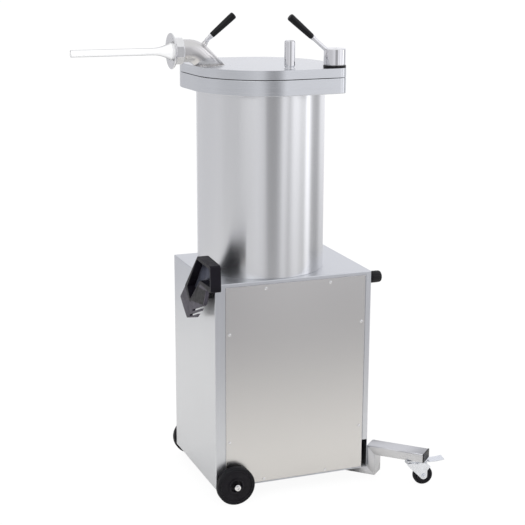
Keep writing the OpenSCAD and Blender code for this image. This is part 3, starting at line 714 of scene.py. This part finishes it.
def lever(prefix, origin, axis, rod, body, node):
    """Steel rod with a collar, and the black tapered grip that starts rod millimetres up."""
    stick = lathe(prefix + "_rod", [(0, -4), (ROD_R, -4), (ROD_R, rod - 7), (6.6, rod - 6),
                                    (6.6, rod - 0.4), (ROD_R, rod - 0.2), (ROD_R, rod + 8),
                                    (0, rod + 8)], turned(origin, axis), 0.6, 48)
    place(stick, body, "chrome")
    grip = lathe(prefix + "_grip", [(0, rod), (6.4, rod), (7.4, rod + 2), (7.8, rod + 12),
                                    (8.8, rod + 45), (9.35, rod + 70), (9.35, rod + 77),
                                    (8.3, rod + 79.2), (5.0, rod + 80), (0, rod + 80)],
                 turned(origin, axis), 1.6, 64)
    place(grip, body, "black_plastic", (node,))


def clamp():
    """Knob on a black ring, with its lever."""
    knob = middle("clamp_knob")
    matrix = turned((knob.x, knob.y, low("clamp_knob").z), UP)
    washer = lathe("clamp_ring", [(11.2, 0), (29.3, 0), (29.3, 5.8), (11.2, 5.8)],
                   matrix, 0.8, closed=True)
    place(washer, "clamp", "black_plastic")
    body = lathe("clamp_knob_body", [(11.2, 6), (27.6, 6), (27.6, 7.2), (28.5, 8), (28.5, 46),
                                     (26.6, 48), (9, 48), (7, 46.8), (0, 46.8), (0, 40.6),
                                     (11.2, 40.6)], matrix, 0.9)
    place(body, "clamp", "chrome", ("clamp_knob",))
    foot = (knob.x - 16 * MM, knob.y, high("clamp_knob").z - 10 * MM)
    axis = (-math.sin(LEVER_TILT), 0, math.cos(LEVER_TILT))
    lever("clamp_lever", foot, axis, 62, "clamp", "clamp_lever")


# ---------- outlet: elbow, tap, nut and nozzle ----------

BEND_X = -200 * MM
BEND_R = 50 * MM
BEND_STEPS = 12
ELBOW_R = 29 * MM
BEND_ANGLE = math.radians(45)
TAP_ANGLE = math.radians(35)


def bend_point(angle):
    """Point on the elbow's middle line and the direction of flow there."""
    point = Vector((BEND_X + BEND_R * math.sin(angle), 0,
                    PIPE_Z - BEND_R * (1 - math.cos(angle))))
    return point, Vector((math.cos(angle), 0, -math.sin(angle)))


def run_down(ring, way, height):
    """The ring's points carried on along way to a level height."""
    return [v + way * ((v.z - height) / -way.z) for v in ring]


def elbow():
    """Pipe bent down into the lid, with a weld bead round its foot."""
    rings = [circle_ring((x * MM, 0, PIPE_Z), (1, 0, 0), ELBOW_R)
             for x in (-228, -216, -206, -200)]
    for k in range(1, BEND_STEPS + 1):
        point, way = bend_point(BEND_ANGLE * k / BEND_STEPS)
        rings.append(circle_ring(point, way, ELBOW_R))
    seam = run_down(rings[-1], way, LID_TOP)
    rings.append(run_down(rings[-1], way, LID_TOP - 0.6 * MM))
    place(loft("elbow_body", rings), "lid", "elbow_steel", ("outlet_elbow",))
    centre = sum(seam, Vector()) / len(seam)
    bead = []
    for k, point in enumerate(seam):
        out = (point - centre).normalized()
        swell = (1.5 + 0.25 * math.sin(k * 1.9)) * MM
        bead.append([point + out * swell * math.cos(a) + UP * swell * 0.8 * math.sin(a)
                     for a in turns(8)])
    place(loft("elbow_weld", bead + [bead[0]], caps=False), "lid", "elbow_steel")


def tap():
    """Boss on the elbow's back, with the turning head and its lever."""
    point = bend_point(TAP_ANGLE)[0]
    up = Vector((math.sin(TAP_ANGLE), 0, math.cos(TAP_ANGLE)))
    boss = lathe("tap_boss", [(0, 26), (8.4, 26), (8.2, 29), (7, 31), (7, 36), (4.2, 36),
                              (0, 36)], turned(point, up), 0.8, 48)
    place(boss, "lid", "elbow_steel")
    head = lathe("tap_head", [(0, 37), (5.8, 37), (5.8, 44), (4.6, 46), (0, 46.4)],
                 turned(point, up), 1.2, 48)
    place(head, "tap", "chrome")
    foot = point + up * 45 * MM
    axis = (math.sin(LEVER_TILT), 0, math.cos(LEVER_TILT))
    lever("tap_lever", foot, axis, 14, "tap", "tap_lever")


NUT_SIDES = 8
NUT_HALF = 33
NUT_LENGTH = 23


def nut_radius(a, h):
    """Distance from the nut's axis to its surface, chamfered at both ends and on its edges."""
    half_side = math.pi / NUT_SIDES
    turn = (a + half_side) % (2 * half_side) - half_side
    chamfer = NUT_HALF - 0.6 + 1.5 * min(h, NUT_LENGTH - h)
    return min(NUT_HALF / math.cos(turn), chamfer, NUT_HALF / math.cos(math.radians(21)))


def nut():
    """Eight-sided union nut with chamfered ends, and its dished rim."""
    start = Vector((high("nozzle_nut").x, 0, PIPE_Z))
    flow = Vector((-1, 0, 0))
    matrix = turned(start, flow, UP)
    segments = NUT_SIDES * 12
    rings = [circle_ring(start, flow, 29.2 * MM, segments, UP)]
    for h in (0, 0.8, 1.6, 2.6, 4, 12, 19, 20.6, 21.6, 22.4, NUT_LENGTH):
        rings.append([polar(matrix, nut_radius(a, h), a, h) for a in turns(segments)])
    rings.append(circle_ring(start + flow * NUT_LENGTH * MM, flow, 24 * MM, segments, UP))
    body = loft("nut_body", rings, caps=False)
    soften(body, 0.2, 1, 60)
    place(body, "nut", "elbow_steel", material=chrome("nut_finish", (0.8, 0.8, 0.81), 0.14))
    dish = lathe("nut_dish", [(23.4, 20), (31, 19.5), (43, 24.2), (46, 27), (45.2, 29.6),
                              (41, 29.8), (30, 24.6), (23.4, 23)], matrix, 1.0, closed=True)
    place(dish, "nut", "elbow_steel", ("nozzle_nut",),
          chrome("dish_finish", (0.74, 0.74, 0.75), 0.2))


def nozzle():
    """Trumpet and straight tube; h runs from the flange against the pipe to the tip."""
    flange = high("filling_nozzle").x
    length = (flange - low("filling_nozzle").x) / MM
    tube_r = 9
    wall = 2
    cone_start = 18
    cone_l = 48
    outer = [(28.4, 0), (28.4, 3.6), (22.6, 3.8), (22.6, cone_start - 1)]
    inner = [(20.6, 0), (20.6, cone_start)]
    steps = 20
    for k in range(steps + 1):
        t = k / steps
        flare = tube_r + 13 * (1 - t) ** 2.2
        outer.append((flare, cone_start + cone_l * t))
        inner.append((flare - wall, cone_start + cone_l * t))
    outer += [(tube_r, length - 0.5), (tube_r - 0.5, length), (tube_r - wall, length)]
    profile = outer + inner[::-1]
    matrix = turned((flange, 0, PIPE_Z), (-1, 0, 0))
    horn = lathe("nozzle_horn", profile, matrix, 0.3, closed=True)
    place(horn, "nozzle", "white_plastic", ("filling_nozzle",))


def hand_post():
    """Post with a waisted foot, by which the lid is pushed round."""
    spot = middle("hand_post")
    post = lathe("hand_post_body", [(0, -8), (7.6, -8), (7.6, -0.4), (14, -0.4), (14, 1.6),
                                    (12.4, 2.4), (12.4, 4), (14, 6.5), (14, 65), (13, 69),
                                    (10, 71), (0, 71)],
                 turned((spot.x, spot.y, LID_TOP), UP), 1.4)
    place(post, "lid", "chrome", ("hand_post",))


# ---------- running gear ----------


def wheel(side, name):
    """Fixed wheel with a rubber tyre, a ribbed disc and a sunk hub. side is -1 near, 1 far."""
    spot = middle(name)
    inner = low(name).y if side > 0 else high(name).y
    hub_out = 6
    matrix = turned((spot.x, inner + side * hub_out * MM, spot.z), (0, side, 0), UP)
    tyre = lathe(name + "_tyre", [(45.5, 1), (49.5, 0.4), (52, 3.5), (52, 18.5), (49.5, 21.6),
                                  (46.8, 21.6), (45.5, 20)], matrix, 1.4, 128, closed=True)
    place(tyre, name, "wheel_rubber")
    bore = 7.05
    face = [(bore, -hub_out), (14, -hub_out), (14, 2), (20, 1), (45.6, 1), (45.6, 20.4),
            (43.8, 21), (42.4, 20), (41.6, 17.4)]
    for k in range(6):
        r = 40 - 2.9 * k
        face += [(r, 17.2), (r - 0.6, 17.9), (r - 1.3, 17.9), (r - 1.9, 17.2)]
    face += [(21.8, 17.4), (20.8, 20.6), (18.4, 20.8), (16.4, 19.6), (14.4, 11), (bore, 10.6)]
    disc = lathe(name + "_disc", face, matrix, 0.5, 128, closed=True)
    place(disc, name, "wheel_plastic", (name,))


def axle():
    """Axle rod with a domed socket head at each end."""
    spot = middle("wheel_axle")
    half = (high("wheel_axle").y - low("wheel_axle").y) / 2 / MM
    profile = [(0, 0), (7, 0), (7, half - 15), (9, half - 15), (9, half - 3),
               (7.6, half - 0.8), (4.6, half), (3.4, half), (3.2, half - 4), (0, half - 4.2)]
    ends = [lathe("axle_half", profile, turned((spot.x, 0, spot.z), (0, side, 0)), 0.5, 48)
            for side in (-1, 1)]
    place(join("axle_rod", ends), "root", "screw_steel", ("wheel_axle",))


def arm_point(side, u, v, z):
    """Millimetres to the frame: u runs out along the outrigger at 45 degrees, v across it."""
    x = (u + v) / math.sqrt(2)
    y = (v - u) / math.sqrt(2)
    return Vector((x, -side * y, z)) * MM


# The tube's middle line as (u, height), its place across, and half its width and thickness.
ARM_PATH = [(230, 27.48), (309.5, 27.48), (309.5, 87.5), (459, 87.5)]
ARM_V = 86
ARM_HALF_W = 25
ARM_HALF_T = 12.5


def arm_stations():
    """Middle point, direction, plane and sink of every ring along the cranked tube."""
    path = [Vector(point) for point in ARM_PATH]
    first = (path[1] - path[0]).normalized()
    last = (path[3] - path[2]).normalized()
    weld_half = 1.1
    weld_depth = 0.4
    stations = [(path[0], first, first, 0)]
    for i in (1, 2):
        here = path[i]
        back = (here - path[i - 1]).normalized()
        ahead = (path[i + 1] - here).normalized()
        plane = (back + ahead).normalized()
        stations += [(here - back * weld_half, back, plane, 0), (here, back, plane, weld_depth),
                     (here + ahead * weld_half, ahead, plane, 0)]
    return stations + [(path[3], last, last, 0)]


def arm(side):
    """Cranked rectangular tube, mitred and welded at its two corners."""
    section = round_corners([(-ARM_HALF_W, -ARM_HALF_T), (ARM_HALF_W, -ARM_HALF_T),
                             (ARM_HALF_W, ARM_HALF_T), (-ARM_HALF_W, ARM_HALF_T)], 3.4, 4, True)
    rings = []
    for centre, way, plane, sunk in arm_stations():
        across = Vector((-way.y, way.x))
        ring = []
        for v, w in section:
            spot = centre + across * w * (1 - sunk / ARM_HALF_T)
            spot += way * ((centre - spot).dot(plane) / way.dot(plane))
            ring.append(arm_point(side, spot.x, ARM_V + v * (1 - sunk / ARM_HALF_W), spot.y))
        rings.append(ring)
    return loft("arm", rings)


def outriggers():
    arms = join("outrigger_tubes", [arm(1), arm(-1)])
    place(arms, "root", "tube_steel", ("outrigger_arms",))


# ---------- casters ----------

# Millimetres in the side view: x along the trail from the swivel, z up from the floor.
CHEEK_Y = 13
CHEEK_T = 2.5
TRAIL = 22
HUB_Z = 27
LOBE_R = 10
FORK_Z = 66
BRAKE_X = 13
BRAKE_Z = 61


def cheek_outline():
    """Side view of a fork's cheek: a slanted leg that ends in a lobe round the axle."""
    lobe = []
    for degrees in range(-133, 1, 12):
        a = math.radians(degrees)
        lobe.append((TRAIL + LOBE_R * math.cos(a), HUB_Z + LOBE_R * math.sin(a)))
    return [(-25, FORK_Z), (-25, FORK_Z - 6)] + lobe + [(32, 42), (41, 53), (36, 58),
                                                        (22, FORK_Z)]


def hexagon(radius):
    return [(radius * math.cos(a), radius * math.sin(a)) for a in turns(6)]


def caster(which):
    """Fork, wheel and brake of one caster, from the places of its joints."""
    swivel = Vector(joint(f"caster_{which}_swivel")["pos_m"])
    hub = Vector(joint(f"caster_{which}_roll")["pos_m"])
    foot = Vector((swivel.x, swivel.y, 0))
    trail = Vector((hub.x - swivel.x, hub.y - swivel.y, 0)).normalized()
    across = UP.cross(trail)

    def side_view(offset):
        """Local x along the trail, local y up, starting offset millimetres to one side."""
        return turned(foot + across * offset * MM, -across, trail)

    caster_fork(which, foot, hub, across, side_view)
    caster_wheel(which, hub, across)
    brake(which, side_view)


def caster_fork(which, foot, hub, across, side_view):
    """Two cheeks, the crown strips between them, the axle and its bolts, and the swivel race."""
    body = f"caster_{which}"
    pieces = []
    for side in (1, -1):
        cheek = prism("cheek", cheek_outline(), side_view(side * CHEEK_Y + CHEEK_T / 2), CHEEK_T)
        pieces.append(cheek)
        bolt = prism("bolt", hexagon(6.5), turned(hub + across * side * 14.2 * MM, across * side),
                     3.6)
        pieces.append(bolt)
        stub = lathe("stub", [(0, 17.6), (3.4, 17.6), (3.4, 19.4), (2.6, 20), (0, 20)],
                     turned(hub, across * side), 0.4, 24)
        pieces.append(stub)
    pieces.append(lathe("pin", [(0, -17), (4, -17), (4, 17), (0, 17)], turned(hub, across), 0.3,
                        32))
    for start, stop in ((-24, -10), (10, 21)):
        strip = [(start, FORK_Z - 2), (stop, FORK_Z - 2), (stop, FORK_Z), (start, FORK_Z)]
        pieces.append(prism("crown_strip", strip, side_view(CHEEK_Y), 2 * CHEEK_Y))
    pieces.append(lathe("race", [(9.2, 64), (17, 64), (18, 66), (17, 67.6), (15.6, 68.6),
                                 (17, 69.8), (16.6, 71.7), (5.4, 71.7), (5.4, 66), (9.2, 65.6)],
                        turned(foot, UP), 0.5, 64, closed=True))
    fork = join(f"{body}_fork", pieces)
    soften(fork, 0.5, 2, 40)
    place(fork, body, "zinc", (f"caster_fork_{which}",))


def caster_wheel(which, hub, across):
    """Rubber tyre on a plastic core."""
    body = f"caster_wheel_{which}"
    matrix = turned(hub, across, UP)
    tyre = lathe(body + "_tyre", [(19.4, -8.4), (24, -9.6), (26.4, -7), (27, -4), (27, 4),
                                  (26.4, 7), (24, 9.6), (19.4, 8.4)], matrix, 1.2, 96,
                 closed=True)
    place(tyre, body, "wheel_rubber")
    core = lathe(body + "_core", [(4.06, -10), (8, -10), (9, -7.4), (17.6, -6.8), (19.4, -8.8),
                                  (19.4, 8.8), (17.6, 6.8), (9, 7.4), (8, 10), (4.06, 10)],
                 matrix, 0.6, 96, closed=True)
    place(core, body, "wheel_plastic", (body,))


def brake(which, side_view):
    """Pedal of bent sheet: a narrow root over the wheel and a wide tread outside the fork."""
    def strip(name, points, width):
        """Bent strip; its points are measured from the pedal's pin."""
        outline = [(BRAKE_X + x, BRAKE_Z + z) for x, z in points]
        return prism(name, outline, side_view(width / 2), width)

    root = strip("root", [(-3.5, -1.5), (10, -1.2), (24, 6.6), (24, 9.4), (9, 1.4), (-3.5, 1.3)],
                 21)
    shoe = strip("shoe", [(4, 0), (4, -4.9), (11, -4.9), (11, 0)], 17)
    curve = [(22 + 44 * t, 5.5 + 1.4 * t + 3.3 * t ** 3) for t in (0, 0.25, 0.5, 0.7, 0.85, 1)]
    top = [(x, z + 2.2) for x, z in reversed(curve)]
    tread = strip("tread", curve + top, 32)
    pin = lathe("pin", [(0, -14.2), (2, -14.2), (2, 14.2), (0, 14.2)],
                side_view(0) @ Matrix.Translation((BRAKE_X * MM, BRAKE_Z * MM, 0)), 0.3, 24)
    pedal = join(f"brake_{which}_pedal", [root, shoe, tread, pin])
    soften(pedal, 0.6, 2, 40)
    place(pedal, f"brake_{which}", "zinc", (f"brake_{which}",))


# ---------- rear controls ----------


def speed_knob():
    """Grip knob with flutes, on its shaft."""
    spot = middle("speed_knob")
    matrix = turned((REAR_WALL, spot.y, spot.z), (1, 0, 0), UP)
    flutes = 12
    flute_depth = 0.9
    segments = flutes * 12
    rings = []
    for h, radius, flute in ((4, 10.5, 0), (4.4, 12, 0), (8, 15.2, 0), (9, 16, 1), (14, 16, 1),
                             (26, 16, 1), (33, 15.6, 1), (35.4, 14.6, 0), (37, 12.8, 0),
                             (38, 9, 0)):
        ring = []
        for a in turns(segments):
            r = radius - flute * flute_depth * max(0, math.cos(flutes * a)) ** 2
            ring.append(polar(matrix, r, a, h))
        rings.append(ring)
    knob = loft("speed_knob_grip", rings)
    shaft = lathe("speed_shaft", [(0, -14), (5, -14), (5, 4.5), (0, 4.5)], matrix, 0.4, 32)
    place(join("speed_knob_body", [knob, shaft]), "speed", "black_plastic", ("speed_knob",))


def buttons():
    """Start and stop caps, sunk in the switch plate."""
    for name, slot in (("start_button", "green_plastic"), ("stop_button", "red_plastic")):
        spot = middle(name)
        matrix = turned((REAR_WALL, spot.y, spot.z), (1, 0, 0))
        cap = lathe(name + "_cap", [(0, -12), (13.5, -12), (13.5, -4), (11, -4), (11, 8.4),
                                    (10, 9.8), (7, 9.4), (0, 9)], matrix, 1.0, 64)
        place(cap, name, slot, (name,))


def cable():
    """Supply cable: a gland in the rear wall, a bend and a loose end with a plug."""
    y = middle("power_cable").y / MM
    wall = REAR_WALL / MM
    gland_z = 110
    bend = 30
    hang_x = wall + 2 * bend
    path = [(wall - 10, y, gland_z), (wall + 12, y, gland_z)]
    for k in range(9):
        a = math.radians(90 - 11.25 * k)
        path.append((wall + bend + bend * math.cos(a), y, gland_z - bend + bend * math.sin(a)))
    path.append((hang_x, y, 40))
    cord = pipe("cord", [Vector(q) * MM for q in path], 5 * MM)
    gland = lathe("gland", [(0, -11), (9.6, -11), (9.6, 0), (13, 0), (13, 5), (11, 6), (11, 8),
                            (9, 10), (6.5, 12.5), (5, 12.5), (0, 12.5)],
                  turned((wall * MM, y * MM, gland_z * MM), (1, 0, 0)), 0.8, 48)
    plug = lathe("plug", [(0, 28), (13, 28), (14, 30), (14, 36), (9, 42), (6.5, 50), (5, 50),
                          (0, 50)], turned((hang_x * MM, y * MM, 0), UP), 1.4, 48)
    place(join("power_cord", [cord, gland, plug]), "root", "black_rubber", ("power_cable",))


# ---------- floor, light and camera ----------


def studio_floor():
    """White floor with faint shadows. Mirror rays see it darker towards the camera's side."""
    rim = circle_ring((0, 0, 0), UP, 60)
    floor = new_piece("floor", rim, [tuple(range(len(rim)))])
    surface = Surface("floor_paint", (0.9, 0.9, 0.9), 0.9)
    plain = surface.shade(surface.noise((0.6, 0.6, 0.6), 2), 0.004)
    depth = surface.spread(surface.axes()["Y"], 0, 1, -1.7, -0.4)
    path = surface.add("ShaderNodeLightPath")
    tinted = surface.mix(depth, (0.33, 0.325, 0.345), (0.95, 0.93, 0.89))
    surface.paint(surface.mix(path.outputs["Is Glossy Ray"], plain, tinted))
    glow = surface.add("ShaderNodeEmission", Color=(1, 1, 1, 1), Strength=1.04)
    # the camera sees mostly the glow, so that shadows on the floor stay faint
    faint = surface.add("ShaderNodeMixShader")
    faint.inputs[0].default_value = 0.9
    surface.join(surface.shader.outputs[0], faint.inputs[1])
    surface.join(glow.outputs[0], faint.inputs[2])
    pick = surface.add("ShaderNodeMixShader")
    surface.join(path.outputs["Is Camera Ray"], pick.inputs[0])
    surface.join(surface.shader.outputs[0], pick.inputs[1])
    surface.join(faint.outputs[0], pick.inputs[2])
    surface.join(pick.outputs[0], surface.tree.nodes["Material Output"].inputs["Surface"])
    floor.data.materials.append(surface.material)


# Brightness of the studio wall by compass direction, in degrees from +X towards +Y.
WALL = [(-180, 0.71), (-172, 0.67), (-147, 0.65), (-127, 0.70), (-114, 0.82), (-104, 0.76),
        (-99, 0.46), (-93, 0.4), (-84, 0.41), (-78, 0.55), (-71, 1.08), (-66, 1.0), (-60, 0.74),
        (-52, 1.2), (-44, 1.15), (-36, 0.85), (-28, 0.85), (-23, 1.65), (-17, 1.65), (-11, 0.75),
        (0, 0.58), (10, 0.62), (22, 1.05), (38, 1.0), (68, 0.95), (83, 0.95), (102, 0.68),
        (120, 0.73), (138, 0.72), (173, 0.74), (180, 0.71)]
WALL_RADIUS = 1.9
WALL_STRENGTH = 2.0
WALL_BLUE = 1.035


def wall_light():
    """Glow that follows WALL, dimmer low down on the wall's rear part."""
    surface = Surface("wall_light", (0, 0, 0), 1.0)
    place_of = surface.axes()
    compass = surface.combine("ARCTAN2", place_of["Y"], place_of["X"])
    ramp = surface.add("ShaderNodeValToRGB")
    surface.join(surface.spread(compass, 0, 1, -math.pi, math.pi), ramp.inputs["Fac"])
    stops = ramp.color_ramp.elements
    while len(stops) > 1:
        stops.remove(stops[-1])
    for k, (degrees, value) in enumerate(WALL):
        spot = (degrees + 180) / 360
        stop = stops[0] if k == 0 else stops.new(spot)
        stop.position = spot
        tone = value / WALL_STRENGTH
        stop.color = (tone, tone, tone * WALL_BLUE, 1)
    low_down = surface.spread(place_of["Z"], WALL_STRENGTH / 2, WALL_STRENGTH, -0.1, 0.8)
    rearward = surface.spread(place_of["X"], 0, 1, 0.3, 0.8)
    strength = surface.add("ShaderNodeMix")
    surface.join(rearward, strength.inputs[0])
    strength.inputs[2].default_value = WALL_STRENGTH
    surface.join(low_down, strength.inputs[3])
    light = surface.add("ShaderNodeEmission")
    surface.join(ramp.outputs["Color"], light.inputs["Color"])
    surface.join(strength.outputs[0], light.inputs["Strength"])
    surface.join(light.outputs[0], surface.tree.nodes["Material Output"].inputs["Surface"])
    return surface.material


def studio_wall():
    """Ring of bright and dark screens round the machine, seen by mirror rays only."""
    rings = [circle_ring((0, 0, z), UP, WALL_RADIUS, 96) for z in (-0.2, 3.2)]
    wall = loft("studio_wall", rings, caps=False)
    wall.data.materials.append(wall_light())
    wall.visible_camera = False
    wall.visible_diffuse = False
    wall.visible_shadow = False
    wall.visible_transmission = False
    wall.visible_volume_scatter = False


def studio_world():
    """Even pale light from all round, and a white background."""
    world = bpy.data.worlds.new("studio")
    scene.world = world
    world.use_nodes = True
    tree = world.node_tree
    tree.nodes.clear()
    light = tree.nodes.new("ShaderNodeBackground")
    light.inputs["Color"].default_value = (0.95, 0.955, 0.965, 1)
    plain = tree.nodes.new("ShaderNodeBackground")
    plain.inputs["Strength"].default_value = 1.86
    path = tree.nodes.new("ShaderNodeLightPath")
    pick = tree.nodes.new("ShaderNodeMixShader")
    end = tree.nodes.new("ShaderNodeOutputWorld")
    tree.links.new(path.outputs["Is Camera Ray"], pick.inputs[0])
    tree.links.new(light.outputs[0], pick.inputs[1])
    tree.links.new(plain.outputs[0], pick.inputs[2])
    tree.links.new(pick.outputs[0], end.inputs["Surface"])


def softbox(name, spot, aim, size, power):
    """Square lamp at spot, turned towards aim; size in metres, power in watts."""
    data = bpy.data.lights.new(name, "AREA")
    data.shape = "SQUARE"
    data.size = size
    data.energy = power
    lamp = bpy.data.objects.new(name, data)
    lamp.location = spot
    lamp.rotation_euler = (Vector(aim) - Vector(spot)).to_track_quat("-Z", "Y").to_euler()
    scene.collection.objects.link(lamp)


def studio_lights():
    softbox("key_light", (-2.2, -2.4, 3.0), (0, 0, 0.7), 1.6, 30)
    softbox("side_light", (2.6, -1.6, 2.2), (0, 0, 0.8), 1.2, 14)


def studio_camera():
    """Camera from the front left, turned by yaw from +Y, pitched down and rolled a little."""
    spot = Vector((-1.2382, -3.2739, 1.4863))
    yaw = math.radians(21.87)
    pitch = math.radians(14.74)
    roll = math.radians(0.49)
    ahead = Vector((math.sin(yaw) * math.cos(pitch), math.cos(yaw) * math.cos(pitch),
                    -math.sin(pitch)))
    right = Vector((math.cos(yaw), -math.sin(yaw), 0))
    up = right.cross(ahead)
    right_rolled = right * math.cos(roll) + up * math.sin(roll)
    up_rolled = up * math.cos(roll) - right * math.sin(roll)
    data = bpy.data.cameras.new("camera")
    data.lens = 91.36
    data.sensor_width = 36
    data.shift_x = -0.0446
    data.shift_y = 0.0255
    data.clip_end = 200
    camera = bpy.data.objects.new("camera", data)
    matrix = Matrix((right_rolled, up_rolled, -ahead)).transposed().to_4x4()
    matrix.translation = spot
    camera.matrix_world = matrix
    scene.collection.objects.link(camera)
    scene.camera = camera


# ---------- build ----------

paint_nodes()
soften_nodes()
cabinet()
covers()
screws()
knee_pad()
clamp()
elbow()
tap()
nut()
nozzle()
hand_post()
wheel(-1, "wheel_near")
wheel(1, "wheel_far")
axle()
outriggers()
for end in ("near", "far"):
    caster(end)
speed_knob()
buttons()
cable()
studio_floor()
studio_wall()
studio_world()
studio_lights()
studio_camera()
scene.view_settings.view_transform = "Standard"
